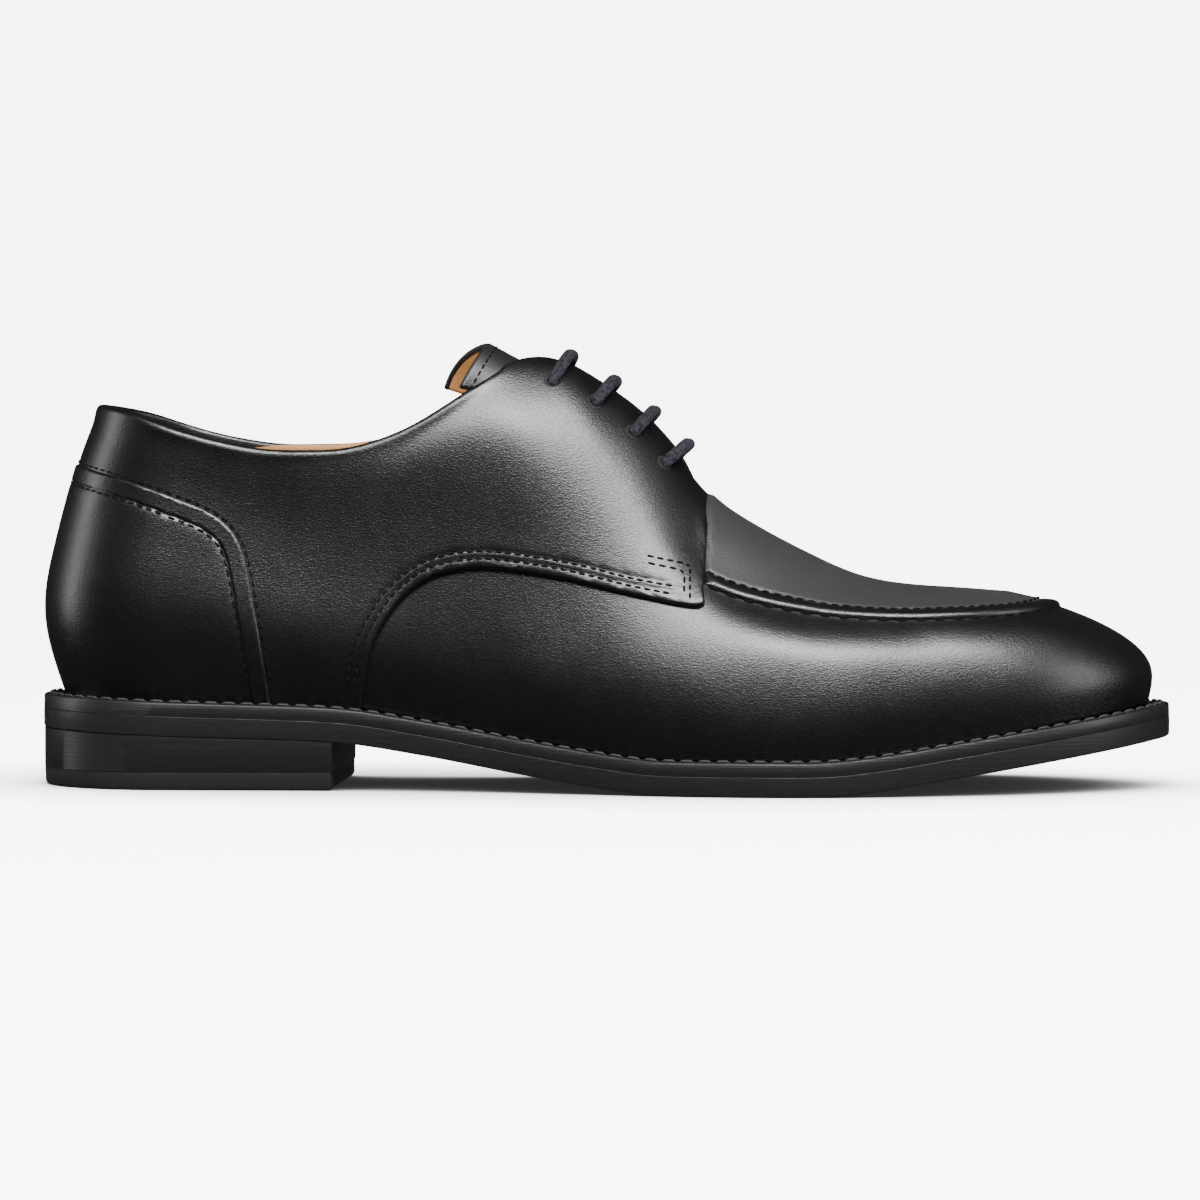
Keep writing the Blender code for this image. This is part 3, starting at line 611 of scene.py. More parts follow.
def last_shell():
    """The whole last as rows of columns and faces, welded at the heel, the toe and the instep."""
    share = stations(*LAST_STEPS)
    at = np.linspace(0, 1, ACROSS)
    rows, faces = [], []
    for side in (-1, 1):
        grid = last_surface(share, at, side)
        chord = np.linalg.norm(np.diff(grid, axis=0), axis=-1)
        along = np.concatenate([np.zeros((1, len(share))), np.cumsum(chord, axis=0)])
        seam = np.array([np.interp(SEAM["place"], at, along[:, k]) for k in range(len(share))])
        start = sum(map(len, rows))
        block = np.zeros((ACROSS * len(share), 12))
        block[:, PLACE] = to_frame(grid[..., 0], grid[..., 1], grid[..., 2]).reshape(-1, 3)
        block[:, DOWN] = (along[-1] - along).reshape(-1)
        block[:, UP] = (along - seam).reshape(-1)
        block[:, PATTERN] = grid.reshape(-1, 3)
        rows.append(block)
        for j in range(ACROSS - 1):
            for k in range(len(share) - 1):
                a = start + j * len(share) + k
                face = (a, a + 1, a + 1 + len(share), a + len(share))
                faces.append(face if side == -1 else face[::-1])
    rows = np.concatenate(rows)
    keys = np.round(rows[:, PLACE] / WELD_WITHIN).astype(np.int64)
    _, first, index = np.unique(keys, axis=0, return_index=True, return_inverse=True)
    rows, index = rows[first], index.reshape(-1)
    welded = []
    for face in faces:
        corners = list(dict.fromkeys(index[list(face)].tolist()))
        if len(corners) > 2:
            welded.append(corners)
    probe = bpy.data.meshes.new("probe")
    probe.from_pydata(rows[:, PLACE].tolist(), [], welded)
    rows[:, NORMAL] = [vert.normal[:] for vert in probe.vertices]
    bpy.data.meshes.remove(probe)
    return rows, welded


def split(rows, faces, column, level, drop=False):
    """Faces parted along the line where a column passes a level. drop leaves out what is under it."""
    near = np.abs(rows[:, column] - level) < SNAP_WITHIN
    rows = rows.copy()
    rows[near, column] = level
    over = (rows[:, column] > level).tolist()
    at_level = near.tolist()
    more, made, kept = [], {}, []

    def between(a, b):
        key = (min(a, b), max(a, b))
        if key not in made:
            t = (level - rows[key[0], column]) / (rows[key[1], column] - rows[key[0], column])
            made[key] = len(rows) + len(more)
            more.append(rows[key[0]] * (1 - t) + rows[key[1]] * t)
        return made[key]

    for face in faces:
        kinds = {0 if at_level[v] else 1 if over[v] else -1 for v in face}
        if not {1, -1} <= kinds:
            if 1 in kinds or (kinds != {0} and not drop):
                kept.append(face)
            continue
        high, low = [], []
        for v, w in zip(face, face[1:] + face[:1]):
            if at_level[v]:
                high.append(v)
                low.append(v)
            else:
                (high if over[v] else low).append(v)
            if not at_level[v] and not at_level[w] and over[v] != over[w]:
                joint = between(v, w)
                high.append(joint)
                low.append(joint)
        for part, wanted in ((high, True), (low, not drop)):
            if wanted and len(part) > 2:
                kept.append(part)
    if more:
        rows = np.concatenate([rows, np.array(more)])
        length = np.linalg.norm(rows[:, NORMAL], axis=1, keepdims=True)
        rows[:, NORMAL] /= np.maximum(length, 1e-9)
    return rows, kept


def split_all(rows, faces, column, levels):
    """Faces parted along several levels of one column."""
    for level in levels:
        rows, faces = split(rows, faces, column, level)
    return rows, faces


def round_over(distance, low, high, radius):
    """Heights over an edge that rolls from low to high within a radius."""
    t = 1 - np.clip(distance / radius, 0, 1)
    return low + (high - low) * np.sqrt(1 - t * t)


def sheet_object(name, rows, faces, lift, material):
    """The kept faces moved out by lift, in millimetres, as a new object."""
    points = rows[:, PLACE] + rows[:, NORMAL] * (np.asarray(lift) * MM)[:, None]
    used = sorted({v for face in faces for v in face})
    number = {v: i for i, v in enumerate(used)}
    return mesh_object(name, points[used], [[number[v] for v in face] for face in faces], material)


GRAIN_SIZE = 0.00048
WRINKLE_SIZE = 1 / 1200


def leather(name, colour, roughness, coat, depth=0.000065):
    """Finished calf: fine uneven grain, and a polish that is thicker in some places."""
    made = Finish(name, Coat_Roughness=0.29, Specular_IOR_Level=0.4)
    cloud = made.noise(0.035, 2.0)
    dark, light = (tuple(much * c for c in colour) for much in (0.8, 1.25))
    made.set("Base Color", made.blend(cloud, dark, light))
    made.set("Roughness", roughness - 0.05 + 0.10 * made.noise(0.011) + 0.05 * made.noise(0.0012))
    made.set("Coat Weight", coat * (0.7 + 0.6 * cloud))
    drawn = made.add("ShaderNodeMapping", {}, {"Vector": made.where(), "Scale": (0.65, 1.0, 1.5)})
    cells = made.add(
        "ShaderNodeTexVoronoi", {"feature": "F1"},
        {"Vector": drawn, "Scale": 1 / GRAIN_SIZE, "Randomness": 1.0},
    )
    wrinkles = made.add(
        "ShaderNodeTexNoise", {}, {"Vector": drawn, "Scale": 1 / WRINKLE_SIZE, "Detail": 4.0},
    )
    made.bump(0.7 * cells + 0.8 * wrinkles + 1.2 * made.noise(0.014, 1.0), depth)
    return made


calf = leather("upper_leather", (0.0009, 0.0009, 0.0010), 0.33, 0.24)
lining = leather("lining_leather", (0.33, 0.155, 0.050), 0.6, 0.0, depth=0.00005)

shell_rows, shell_faces = last_shell()
rows = shell_rows.copy()
forward = np.clip((rows[:, PATTERN_X] - LINING_RISE[0]) / LINING_RISE[1], 0, 1)
turned_in = HEEL_TURN_IN + (LINING_FROM - HEEL_TURN_IN) * forward * forward * (3 - 2 * forward)
rows[:, EDGE] = rows[:, DOWN] - turned_in
rows, faces = split(rows, shell_faces, EDGE, 0.0)
rows, faces = split(rows, faces, DOWN, RIM_LEVEL)
# The wall is full thickness a little under its rim, and thins to a round edge along the opening.
full = np.clip(round_over(rows[:, DOWN], 0.0, 1.0, RIM_RADIUS) + (rows[:, PATTERN_X] > SLOT_END), 0, 1)
points = np.concatenate([
    rows[:, PLACE] + rows[:, NORMAL] * (-0.5 * WALL * (1 - side * full) * MM)[:, None]
    for side in (1, -1)
])
inside_faces = [[v + len(rows) for v in face[::-1]] for face in faces]
edges = {}
for face in faces:
    for a, b in zip(face, face[1:] + face[:1]):
        edges[a, b] = edges.get((a, b), 0) + 1
rim = [(b, a, a + len(rows), b + len(rows)) for a, b in edges if (b, a) not in edges]
upper = mesh_object("upper", points, faces + inside_faces + rim, calf)
deep = [all(rows[v, EDGE] >= -TINY for v in face) for face in faces]
second_finish(upper, lining, [0] * len(faces) + deep + [0] * len(rim))
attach(upper, "root")
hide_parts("upper")


# Quarters: the two laced side panels, calf folded at the edges and sewn over the vamp with two
# rows of thread, open along the slot between the facings.
# Slot between the facings from above: x, half width
FACING_SLOT = (
    (120, 5.2), (142, 5.2), (162, 4.6), (170, 4.9), (174, 7.5), (177.4, 12.0), (180.4, 19.0), (186, 19.0),
)

# Edges of the overlays as seen from the side: x, height
QUARTER_FRONT = ((178.6, 48.6), (179.8, 53.5), (180.0, 60.0), (180.2, 80.0))
QUARTER_FOOT = (
    (178.6, 48.6), (160, 52.0), (145, 55.6), (132, 57.8), (120, 58.8), (109, 56.8), (101, 51.6),
    (95.6, 44.5), (91.6, 36.0), (89, 22.0),
)
COUNTER_EDGE = (
    (-10, 93.0), (9.8, 86.6), (26, 82.3), (39, 77.8), (49, 73.6), (55, 68.6), (58.2, 62.0),
    (60.8, 50.0), (63.2, 37.0), (65.5, 20.0),
)
# Rows of thread follow the quarters' lower edge at these distances from it, in millimetres
QUARTER_ROWS = (2.7, 4.7)
FOOT_END = 173.5
QUARTER_LIFT = 1.6
EDGE_RADIUS = 0.7
CUT_EDGE = 0.14
PANEL_DIP = -0.2
COLLAR_EDGE = 0.15
COLLAR_RADIUS = 1.9
COLLAR_LEVELS = (0.3, 0.9)
COLLAR_END = 125
GROOVE_DEPTH = 0.20
GROOVE_WIDTH = 0.45
GROOVE_REACH = 0.6
# How far the quarters run on under the counter
UNDER_COUNTER = 1.0
FAR = 99.0
# Corners past the shoe that close a side-view line into an outline
BEHIND = [(-20.0, 140.0), (-20.0, -10.0)]


def rounded_line(points, steps=8):
    """A smooth line through a few points, as a spline curve bends between its pins."""
    pins = [np.array(point, float) for point in points]
    pins = [2 * pins[0] - pins[1]] + pins + [2 * pins[-1] - pins[-2]]
    line = []
    for a, b, c, d in zip(pins, pins[1:], pins[2:], pins[3:]):
        for i in range(steps):
            s = i / steps
            bend = (2 * a - 5 * b + 4 * c - d) * s**2 + (3 * b - a - 3 * c + d) * s**3
            line.append(0.5 * (2 * b + (c - a) * s + bend))
    return line + [pins[-2]]


def inside_by(x, z, line, closing):
    """How far points lie inside a line seen from the side: closing ends make it an outline."""
    nearest = np.full(len(x), 1e9)
    for (ax, az), (bx, bz) in zip(line, line[1:]):
        dx, dz = bx - ax, bz - az
        t = np.clip(((x - ax) * dx + (z - az) * dz) / (dx * dx + dz * dz), 0, 1)
        nearest = np.minimum(nearest, np.hypot(x - ax - t * dx, z - az - t * dz))
    ring = list(line) + list(closing)
    crossings = np.zeros(len(x), int)
    for (ax, az), (bx, bz) in zip(ring, ring[1:] + ring[:1]):
        spans = (az > z) != (bz > z)
        crossings += spans & (x < ax + (z - az) * (bx - ax) / ((bz - az) or 1e-9))
    return np.where(crossings % 2 == 1, nearest, -nearest)


def groove(distance, at):
    """The shallow channel that a row of thread pulls into the leather."""
    return -GROOVE_DEPTH * np.exp(-(((distance - at) / GROOVE_WIDTH) ** 2))


shell_x, shell_y, shell_z = shell_rows[:, PATTERN].T
quarter_line = rounded_line(QUARTER_FOOT[::-1] + QUARTER_FRONT[1:])
quarter_line = [(88.0, -10.0)] + [tuple(point) for point in quarter_line] + [(180.4, 140.0)]
foot_line = [tuple(point) for point in rounded_line(QUARTER_FOOT[::-1])]
counter_line = [tuple(point) for point in rounded_line(COUNTER_EDGE)] + [(68.0, -10.0)]
into_quarter = inside_by(shell_x, shell_z, quarter_line, BEHIND)
from_foot = np.abs(inside_by(shell_x, shell_z, [(88.0, -10.0)] + foot_line, BEHIND))
into_counter = inside_by(shell_x, shell_z, counter_line, BEHIND[1:])
slot_x, slot_half = zip(*FACING_SLOT)
from_slot = np.where(shell_x > slot_x[0], np.abs(shell_y) - np.interp(shell_x, slot_x, slot_half), FAR)


def with_edge(edge):
    """The shell's rows with a panel's distance from its edge in their last column."""
    rows = shell_rows.copy()
    rows[:, EDGE] = edge
    return rows


def collar_limit(rows, high):
    """Panels thin out as they turn over the collar."""
    free = rows[:, PATTERN_X] > COLLAR_END
    return np.where(free, FAR, round_over(rows[:, DOWN], COLLAR_EDGE, high, COLLAR_RADIUS))


COUNTER_SIDE, FOOT = EDGE + 1, EDGE + 2
rows = np.column_stack([with_edge(np.minimum(into_quarter, from_slot)), -into_counter, from_foot])
rows, faces = split(rows, shell_faces, EDGE, 0.0, drop=True)
rows, faces = split(rows, faces, COUNTER_SIDE, -UNDER_COUNTER, drop=True)
rows, faces = split_all(rows, faces, EDGE, (CUT_EDGE, EDGE_RADIUS / 2, EDGE_RADIUS))
for at in QUARTER_ROWS:
    rows, faces = split_all(rows, faces, FOOT, (at - GROOVE_REACH, at, at + GROOVE_REACH))
rows, faces = split_all(rows, faces, DOWN, COLLAR_LEVELS)
lift = round_over(rows[:, EDGE], PANEL_DIP, QUARTER_LIFT, EDGE_RADIUS)
sewn = np.clip((FOOT_END + 1 - rows[:, PATTERN_X]) / 1.5, 0, 1)
lift += sewn * sum(groove(rows[:, FOOT], at) for at in QUARTER_ROWS)
lift = np.minimum(lift, collar_limit(rows, QUARTER_LIFT))
quarters = sheet_object("quarters", rows, faces, lift, calf)
cut_leather = Finish(
    "cut_edge", Base_Color=(0.0012, 0.0012, 0.0012), Roughness=0.85, Specular_IOR_Level=0.15,
)
raw = [max(rows[v, EDGE] for v in face) <= CUT_EDGE + TINY for face in faces]
second_finish(quarters, cut_leather, raw)
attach(quarters, "root")
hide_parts("quarter_lateral", "quarter_medial")


# Heel counter: a stiffened cap over the heel, sewn on with a rolled edge between two rows of thread.
COUNTER_LIFT = 2.2
COUNTER_ROLL = 3.4
COUNTER_RIDGE_WIDTH = 5.2
COUNTER_ROLL_FOOT = 0.9
COUNTER_GROOVE = 1.75
COUNTER_RADIUS = 1.6
# Where faces part across the roll, as shares of its width
COUNTER_SHARES = (0.025, 0.08, 0.18, 0.32, 0.5, 0.68, 0.82, 0.92, 1.0, 1.12)
COUNTER_SEAMS = (0.45, -COUNTER_RIDGE_WIDTH - 0.35)
rows, faces = split(with_edge(into_counter), shell_faces, EDGE, 0.0, drop=True)
rows, faces = split_all(rows, faces, EDGE, [share * COUNTER_RIDGE_WIDTH for share in COUNTER_SHARES])
rows, faces = split_all(rows, faces, DOWN, COLLAR_LEVELS)
t = np.clip(rows[:, EDGE] / COUNTER_RIDGE_WIDTH, 0, 1)
roll = 1 - (2 * t - 1) ** 2
floor = np.where(t < 0.5, COUNTER_ROLL_FOOT, COUNTER_GROOVE)
cap = round_over(rows[:, EDGE] - COUNTER_RIDGE_WIDTH, COUNTER_GROOVE, COUNTER_LIFT, COUNTER_RADIUS)
lift = np.where(t < 1, floor + (COUNTER_ROLL - floor) * roll, cap)
lift = np.minimum(lift, collar_limit(rows, COUNTER_LIFT))
counter = sheet_object("heel_counter", rows, faces, lift, calf)
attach(counter, "root")
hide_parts("heel_counter")


# Apron: the matte top of the vamp, let in behind a rolled seam that runs round the toe.
APRON_START = 179.5
APRON_LIFT = 0.85
APRON_ROLL = 1.35
APRON_CREST = 0.33
APRON_GROOVE = 0.5
APRON_RADIUS = 1.5
APRON_SHARES = (0.02, 0.07, 0.15, 0.24, 0.33, 0.5, 0.68, 0.85, 1.0, 1.12, 1.28)
# Its end goes down under the facings: depth there, and rise for each millimetre forward
APRON_TUCK = (-0.3, 0.75)
# x, how far under the last's seam line the apron reaches down the wall, in millimetres
SEAM_DROP = (
    (180, 7.2), (193.5, 5.8), (206, 4.6), (220, 4.0), (238, 3.1), (256, 2.4), (265, 1.6), (275, 0.0),
)
APRON_ROLL_WIDTH = 6.2
matte = leather("apron_leather", (0.0115, 0.0122, 0.0122), 0.50, 0.05)


def seam_drop(x):
    return np.interp(x, *zip(*SEAM_DROP))


ahead = np.column_stack([with_edge(shell_rows[:, UP] + seam_drop(shell_x)), shell_x])
rows, faces = split(ahead, shell_faces, EDGE, 0.0, drop=True)
for level in (APRON_START, APRON_START + 0.5, APRON_START + 1.5):
    rows, faces = split(rows, faces, EDGE + 1, level, drop=level == APRON_START)
rows, faces = split_all(rows, faces, EDGE, [share * APRON_ROLL_WIDTH for share in APRON_SHARES])
t = np.clip(rows[:, EDGE] / APRON_ROLL_WIDTH, 0, 1)
rise = np.sqrt(np.maximum(0, 1 - (1 - t / APRON_CREST) ** 2))
fall = 1 - ((t - APRON_CREST) / (1 - APRON_CREST)) ** 2
floor = np.where(t < APRON_CREST, PANEL_DIP, APRON_GROOVE)
roll = floor + (APRON_ROLL - floor) * np.where(t < APRON_CREST, rise, fall)
top = round_over(rows[:, EDGE] - APRON_ROLL_WIDTH, APRON_GROOVE, APRON_LIFT, APRON_RADIUS)
lift = np.where(t < 1, roll, top)
tucked = APRON_TUCK[0] + APRON_TUCK[1] * (rows[:, EDGE + 1] - APRON_START)
lift = np.minimum(lift, tucked)
apron = sheet_object("apron", rows, faces, lift, matte)
rolled = [max(rows[v, EDGE] for v in face) <= APRON_ROLL_WIDTH for face in faces]
second_finish(apron, calf, rolled)
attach(apron, "root")
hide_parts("apron")


# Insole: a thin leather sock over the foot bed, tan like the lining and glued down.
INSOLE_INSET = 9.4
INSOLE_THICKNESS = 3.3
insole = layer(
    "insole",
    [
        (INSOLE_INSET, welt_top, 0.05), (INSOLE_INSET, welt_top, INSOLE_THICKNESS - 0.5),
        (INSOLE_INSET + 0.5, welt_top, INSOLE_THICKNESS),
    ],
    lining,
)
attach(insole, "root")
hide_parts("insole")


# Seams: waxed black thread, each stitch pulled down into the leather at both ends. The rows run
# along the quarters' lower edge, round the counter's roll, both sides of the apron's seam and the welt.
# Each kind of stitch: metres from one to the next, the share of that which shows, its radius
QUARTER_STITCH = (0.00255, 0.72, 0.00030)
COUNTER_STITCH = (0.0027, 0.70, 0.00028)
SEAM_STITCH = (0.0050, 0.62, 0.00033)
APRON_STITCH = (0.0031, 0.70, 0.00033)
WELT_STITCH = (0.0048, 0.80, 0.00045)
# The apron's two rows, over its seam and over the roll's inner side, in millimetres
APRON_ROWS = (0.15, 0.1)
STITCH_SIDES = 6
STITCH_STEPS = ((0.0, 0.45, -0.25), (0.22, 1.0, 0.35), (0.78, 1.0, 0.35), (1.0, 0.45, -0.25))
HEEL_CENTRE = 36.0
# Rows stop this high up, in millimetres, where the panels go into the welt
QUARTER_ROW_END = 26.5
COUNTER_ROW_END = 27.0
WALK_STEP = 0.5
# How far out the panels are looked for from, in metres, from the side and from the heel
CAST_FROM = 0.2
HEEL_CAST_FROM = 0.1
HEEL_STOPS = 260
# Shares of the last's length that the apron's rows are drawn over, and how many; how far up and
# down the wall they are looked for, and how far ahead of the apron's end they start
TOE_STOPS = (0.60, 0.9995, 420)
SEAM_REACH = 0.2
APRON_ROW_START = 0.4
FACING_TACKS = (
    ((164.8, 60.7), (174.6, 58.6), (174.9, 57.0), (174.9, 52.3)),
    ((164.6, 62.6), (176.3, 60.0), (176.5, 50.6)),
)
thread = Finish("thread", Base_Color=(0.0012, 0.0012, 0.0013), Roughness=0.9, Specular_IOR_Level=0.12)
thread.bump(thread.noise(0.0003), 0.00004)


def skin_of(pieces):
    """The pieces' faces as one tree that rays can be cast on."""
    points, faces = [], []
    for piece in pieces:
        start = len(points)
        points += [vert.co.copy() for vert in piece.data.vertices]
        faces += [[start + v for v in face.vertices] for face in piece.data.polygons]
    return BVHTree.FromPolygons(points, faces)


def offset_line(line, distance):
    """A side-view line moved to its left by some millimetres."""
    line = np.array(line, float)
    along = np.gradient(line, axis=0)
    along /= np.linalg.norm(along, axis=1, keepdims=True)
    return line + distance * np.stack([-along[:, 1], along[:, 0]], axis=1)


def on_side(line, side, tree):
    """Places and normals on the panels where a side-view line falls."""
    line = np.array(line, float)
    reach = reach_of(line)
    places = []
    for s in np.arange(0, reach[-1], WALK_STEP):
        x, z = (np.interp(s, reach, line[:, k]) for k in (0, 1))
        start = Vector((x * MM - LENGTH / 2, side * CAST_FROM, z * MM))
        place, normal, _, _ = tree.ray_cast(start, Vector((0, -side, 0)))
        if place is not None and place.y * side > 0.001:
            places.append((place, normal))
    return places


def round_heel(line, tree):
    """Places and normals where a side-view line runs round the back of the heel."""
    line = np.array(line, float)
    found = []
    for turn in np.linspace(-0.5 * math.pi, 0.5 * math.pi, HEEL_STOPS):
        away = Vector((-math.cos(turn), math.sin(turn), 0.0))
        x = HEEL_CENTRE * (1 - math.cos(turn))
        for _ in range(5):
            z = np.interp(x, line[:, 0], line[:, 1])
            middle = Vector((HEEL_CENTRE * MM - LENGTH / 2, HEEL_AXIS_Y, z * MM))
            place, normal, _, _ = tree.ray_cast(middle + HEEL_CAST_FROM * away, -away)
            x = (place.x + LENGTH / 2) / MM
        found.append((place, normal))
    return found


def sew(name, rows, pitch, share, radius, finish=thread):
    """One object of stitches: each row is places and normals, with a stitch on every pitch."""
    points, faces = [], []
    for places in rows:
        spots = np.array([place[:] for place, _ in places])
        normals = np.array([normal[:] for _, normal in places])
        reach = reach_of(spots)
        count = int(reach[-1] / pitch)
        step = reach[-1] / max(1, count)
        for i in range(count):
            near, far = ((i + 0.5 + end * share / 2) * step for end in (-1, 1))
            ends = [np.array([np.interp(s, reach, spots[:, k]) for k in range(3)]) for s in (near, far)]
            up = np.array([np.interp((near + far) / 2, reach, normals[:, k]) for k in range(3)])
            along = ends[1] - ends[0]
            if np.linalg.norm(along) < 0.3 * pitch * share or np.linalg.norm(along) > 3 * pitch:
                continue
            up /= np.linalg.norm(up)
            across = np.cross(along, up)
            across /= np.linalg.norm(across)
            start = len(points)
            for t, width, height in STITCH_STEPS:
                middle = ends[0] + t * along + height * radius * up
                for k in range(STITCH_SIDES):
                    turn = 2 * math.pi * k / STITCH_SIDES
                    points.append(middle + width * radius * (math.cos(turn) * across + math.sin(turn) * up))
            faces += tube_faces(start, len(STITCH_STEPS), STITCH_SIDES)
    made = mesh_object(name, points, faces, finish)
    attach(made, "root")
    return made


panels = skin_of((upper, quarters, counter, apron))
quarter_rows, counter_rows = [], []
for side in (-1, 1):
    for at in QUARTER_ROWS:
        row = [(x, z) for x, z in offset_line(foot_line, at) if z > QUARTER_ROW_END and x < FOOT_END]
        quarter_rows.append(on_side(row, side, panels))
    quarter_rows += [on_side(tack, side, panels) for tack in FACING_TACKS]
    for at in COUNTER_SEAMS:
        row = offset_line(counter_line, at)
        row = [(x, z) for x, z in row if z > COUNTER_ROW_END and x > HEEL_CENTRE]
        counter_rows.append(on_side(row, side, panels))
counter_rows += [round_heel(offset_line(counter_line, at), panels) for at in COUNTER_SEAMS]
sew("quarter_stitches", quarter_rows, *QUARTER_STITCH)
sew("counter_stitches", counter_rows, *COUNTER_STITCH)


def round_toe(over_seam, tree):
    """Places along the apron's seam, from one end round the toe to the other."""
    share = np.linspace(*TOE_STOPS)
    at = np.linspace(SEAM["place"] - SEAM_REACH, SEAM["place"] + SEAM_REACH, 90)
    found = []
    for side in (-1, 1):
        grid = last_surface(share, at, side)
        chord = np.cumsum(np.linalg.norm(np.diff(grid, axis=0), axis=-1), axis=0)
        chord = np.concatenate([np.zeros((1, len(share))), chord])
        row = []
        for k in range(len(share)):
            seam_x = np.interp(SEAM["place"], at, grid[:, k, 0])
            wanted = np.interp(SEAM["place"], at, chord[:, k]) - seam_drop(seam_x) + over_seam
            x, y, z = (np.interp(wanted, chord[:, k], grid[:, k, c]) for c in range(3))
            if x > APRON_START + APRON_ROW_START:
                place, normal, _, _ = tree.find_nearest(Vector(to_frame(x, y, z)))
                row.append((place, normal))
        found += row if side == -1 else row[::-1]
    return found


sew("apron_seam_stitches", [round_toe(APRON_ROWS[0], panels)], *SEAM_STITCH)
inner_row = round_toe(APRON_ROLL_WIDTH + APRON_ROWS[1], skin_of((apron,)))
sew("apron_edge_stitches", [inner_row], *APRON_STITCH)

ring = ring_of(sole_rows(WELT_SEAM))
ring = np.concatenate([ring, ring[:1]])
welt_places = [
    (Vector(to_frame(x, y, welt_top(x) + 0.1)), Vector((0, 0, 1))) for x, y in ring
]
waxed = Finish("welt_thread", Base_Color=(0.012, 0.012, 0.013), Roughness=0.7, Specular_IOR_Level=0.3)
sew("welt_stitches", [welt_places], *WELT_STITCH, waxed)


# Tongue: thin calf lined with tan leather, arched under the facings and turned over at its top,
# with a row of thread along that edge.
# Tongue's outer face along its middle, from under the vamp to its top. Columns: x, height, slope
# in degrees, radius of its arch, half angle of its arch in degrees.
TONGUE_ROWS = (
    (188, 68.4, 36, 21.0, 38),
    (179, 74.9, 42, 19.5, 44),
    (172, 82.9, 47, 18.0, 52),
    (165, 91.0, 42, 17.2, 60),
    (153, 101.2, 37, 16.8, 66),
    (142, 108.6, 33, 16.4, 70),
    (131, 113.6, 29, 16.0, 74),
    (120.4, 119.2, 28, 16.6, 80),
)
TONGUE_THICKNESS = 1.7
TONGUE_SKEW = 7.0
TONGUE_HEM = 3.0
TONGUE_STITCH = (0.0024, 0.70, 0.00026)
# Its turned edge: millimetres back from the top, millimetres under the outer face
TONGUE_TURN = ((0.9, 0.0), (0.25, 0.2), (0.0, 0.6), (0.0, 1.1), (0.25, 1.5), (0.9, 1.7))
TONGUE_COLUMNS = 44
columns = np.linspace(-1, 1, TONGUE_COLUMNS + 1)
tongue_rows = np.array([np.array(row, float) for row in rounded_line(TONGUE_ROWS, 8)])


def tongue_line(row, drop_by):
    """Points across the tongue at one row, some millimetres under its outer face."""
    x, z, slope, radius, spread = row
    slope, turns = math.radians(slope), math.radians(spread) * columns
    fall = radius - (radius - drop_by) * np.cos(turns)
    skew = np.sin(0.62 * math.pi * np.clip(columns, 0, 1)) * np.clip((z - 100) / 16, 0, 1)
    return np.stack([
        x - TONGUE_SKEW * skew - fall * math.sin(slope),
        (radius - drop_by) * np.sin(turns),
        z - fall * math.cos(slope),
    ], axis=1)


def along_tongue(row, by):
    """A row slid back along the tongue by some millimetres."""
    slid = np.array(row)
    slid[0] += by * math.cos(math.radians(row[2]))
    slid[1] -= by * math.sin(math.radians(row[2]))
    return slid


rings = []
top_row = tongue_rows[-1]
for row in tongue_rows[:-1]:
    rings.append((row, 0.0, 0))
for by, under in TONGUE_TURN:
    rings.append((along_tongue(top_row, by), under, 0))
for row in tongue_rows[-2::-1]:
    rings.append((row, TONGUE_THICKNESS, 1))
points, faces, mask = [], [], []
for row, under, _ in rings:
    points += list(to_frame(*tongue_line(row, under).T))
wide = TONGUE_COLUMNS + 1
for i, (_, _, kind) in enumerate(rings):
    following = (i + 1) % len(rings)
    for k in range(TONGUE_COLUMNS):
        a, b = i * wide + k, following * wide + k
        faces.append((a, a + 1, b + 1, b))
        mask.append(kind)
for edge_column in (0, TONGUE_COLUMNS):
    pairs = len(rings) // 2
    for i in range(pairs - 1):
        near = [i, i + 1, len(rings) - 2 - i, len(rings) - 1 - i]
        corners = list(dict.fromkeys(n * wide + edge_column for n in near))
        if len(corners) > 2:
            faces.append(corners if edge_column == 0 else corners[::-1])
            mask.append(0)
soft_calf = leather("tongue_leather", (0.0030, 0.0032, 0.0032), 0.45, 0.08)
tongue = mesh_object("tongue", points, faces, soft_calf)
second_finish(tongue, lining, mask)
face_outward(tongue)
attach(tongue, "root")
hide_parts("tongue")

edge_row = tongue_line(along_tongue(top_row, TONGUE_HEM), 0.0)
edge_places = []
for k in range(0, wide):
    place = Vector(to_frame(*edge_row[k]))
    slope, turn = math.radians(top_row[2]), math.radians(top_row[4]) * columns[k]
    edge_places.append((place, Vector((
        math.cos(turn) * math.sin(slope), math.sin(turn), math.cos(turn) * math.cos(slope),
    ))))
tongue_thread = sew("tongue_stitches", [edge_places], *TONGUE_STITCH)


# Laces: four bars of round braided cotton, charcoal, each up out of its punched hole, over the slot
# and down into the hole opposite. The crossings lie under the facings.
LACE_ROWS = (142.3, 153.4, 163.6, 171.8)
LACE_LEAN = 30.0
EYELET_PLACE = 0.875
# A bar's way up out of its hole and over to the slot: further up the wall as a share of its height,
# and millimetres over the last
LACE_ROUTE = (
    (-0.006, 0.4), (0.0, 0.8), (0.0, 1.9), (0.006, 2.9), (0.018, 3.6), (0.040, 3.8), (0.075, 3.8),
    (0.110, 3.8),
)
LACE_RADIUS = 1.6
BRAID_STRANDS = 12
BRAID_PITCH = 4.2
BRAID_STEP = 0.22
BRAID_LOW, BRAID_RISE = 0.84, 0.24
BRAID_UP = (1.0, 0.0, 0.35)
LACE_SIDES = 24
HOLE_RADIUS = 1.9
HOLE_SIDES = 20
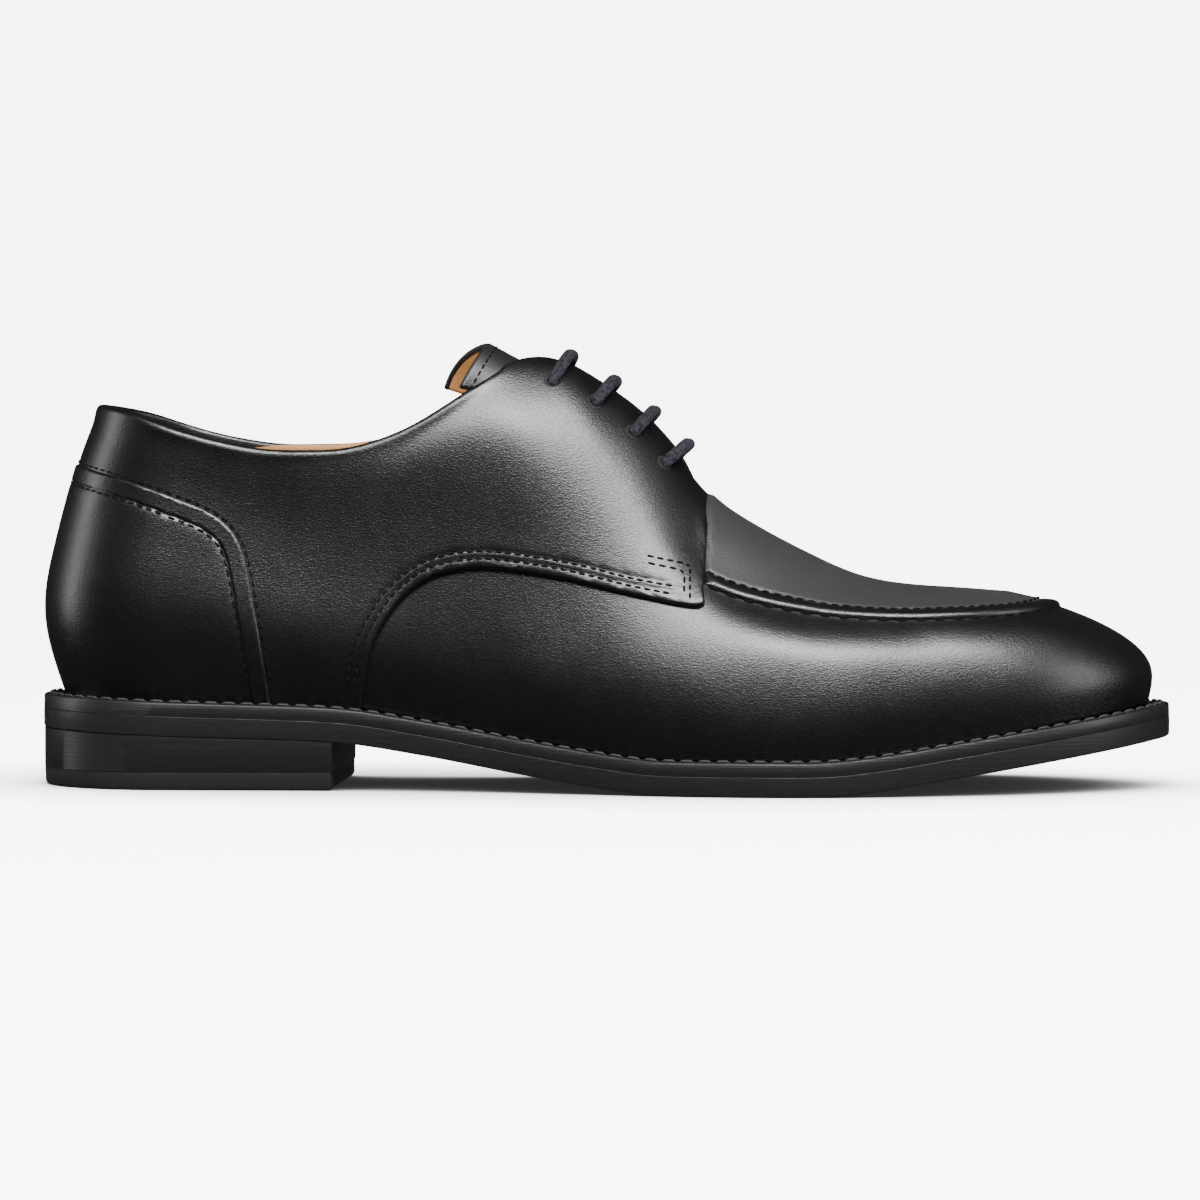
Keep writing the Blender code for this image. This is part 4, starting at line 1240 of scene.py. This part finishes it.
# Rings of a punched hole, drawn as a shallow dish whose dark finish is painted shade: radius, height over
# the panel
HOLE_RINGS = (
    (0.0, -0.15), (1.3, -0.12), (HOLE_RADIUS, 0.03), (HOLE_RADIUS + 0.2, 0.03), (HOLE_RADIUS + 0.5, -0.12),
)
cord = Finish("lace_cord", Roughness=0.9, Specular_IOR_Level=0.2)
fibres = 4.0 * cord.noise(0.0009, 2.0) - 1.5
cord.set("Base Color", cord.blend(fibres, (0.0030, 0.0029, 0.0042), (0.016, 0.0155, 0.022)))
cord.bump(cord.noise(0.00025, 2.0), 0.00008)
# Painted shade: each punched hole is a shallow dish in dark matte, standing in for the shaded opening, and
# the same finish covers the raised rim round it, so the rim shows no highlight.
painted_hole_shade = Finish("eyelet_shadow", Base_Color=(0.0015, 0.0015, 0.0015), Roughness=0.9)


def share_at(x, place):
    """The share of the length at which a place across the wall lies at x."""
    places = np.array([place])
    heel, toe = (
        float(spline_across(np.array([[line["ends"][k]] for line in LINES]), None, places)[0, 0])
        for k in (0, 1)
    )
    return (x - heel) / (toe - heel)


def over_last(x, place, side, lift):
    """A point over the last, in metres, lift millimetres along its normal, and that normal."""
    share, tiny = share_at(x, place), 0.002

    def spot(s, p):
        return to_frame(*last_surface(s, p, side)[0, 0])

    here = spot(share, place)
    normal = np.cross(here - spot(share, place - tiny), spot(share + tiny, place) - here) * side
    normal /= np.linalg.norm(normal)
    return here + lift * MM * normal, normal


def braided(name, route):
    """A round cord along a route, with its strands crossing in raised diagonals."""
    route = np.array(rounded_line(route, 10))
    reach = reach_of(route) / MM
    spots = np.arange(0, reach[-1], BRAID_STEP)
    centre = np.stack([np.interp(spots, reach, route[:, k]) for k in range(3)], axis=1)
    along = np.gradient(centre, axis=0)
    along /= np.linalg.norm(along, axis=1, keepdims=True)
    first = np.cross(along, BRAID_UP)
    first /= np.linalg.norm(first, axis=1, keepdims=True)
    second = np.cross(along, first)
    turns = 2 * math.pi * np.arange(LACE_SIDES) / LACE_SIDES
    twist = 2 * math.pi * spots[:, None] / BRAID_PITCH
    half = BRAID_STRANDS / 2
    weave = np.abs(np.cos(half * (turns + twist / 2))) * np.abs(np.cos(half * (turns - twist / 2)))
    radius = LACE_RADIUS * (BRAID_LOW + BRAID_RISE * weave) * MM
    points = (
        centre[:, None]
        + (radius * np.cos(turns))[..., None] * first[:, None]
        + (radius * np.sin(turns))[..., None] * second[:, None]
    )
    faces = tube_faces(0, len(spots), LACE_SIDES, turned=True)
    return mesh_object(name, points.reshape(-1, 3), faces, cord)


hole_points, hole_faces = [], []
for number, crest in enumerate(LACE_ROWS, 1):
    route = []
    for side in (-1, 1):
        half = []
        for further, lift in LACE_ROUTE:
            place = EYELET_PLACE + further
            half.append(over_last(crest - LACE_LEAN * (1 - place), place, side, lift)[0])
        foot, top = half[0], half[-1]
        for spot in half:
            spot[0] = foot[0] + (top[0] - foot[0]) * (spot[2] - foot[2]) / (top[2] - foot[2])
        route += half if side == -1 else half[::-1]
        seat, normal = over_last(crest - LACE_LEAN * (1 - EYELET_PLACE), EYELET_PLACE, side, QUARTER_LIFT)
        normal = Vector(normal)
        across = normal.orthogonal().normalized()
        other = normal.cross(across)
        start = len(hole_points)
        for radius, height in HOLE_RINGS:
            for k in range(HOLE_SIDES):
                turn = 2 * math.pi * k / HOLE_SIDES
                offset = radius * (math.cos(turn) * across + math.sin(turn) * other) + height * normal
                hole_points.append(Vector(seat) + offset * MM)
        for band in range(len(HOLE_RINGS) - 1):
            for k in range(HOLE_SIDES):
                a = start + band * HOLE_SIDES + k
                b = start + band * HOLE_SIDES + (k + 1) % HOLE_SIDES
                outer = (b + HOLE_SIDES, a + HOLE_SIDES)
                hole_faces.append(((a, b) + outer if band else (start,) + outer)[::-1])
    lace = braided(f"lace_{number}", route)
    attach(lace, "root")
    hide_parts(f"lace_bar_{number}")
punched = mesh_object("punched_holes", hole_points, hole_faces, painted_hole_shade)
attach(punched, "root")
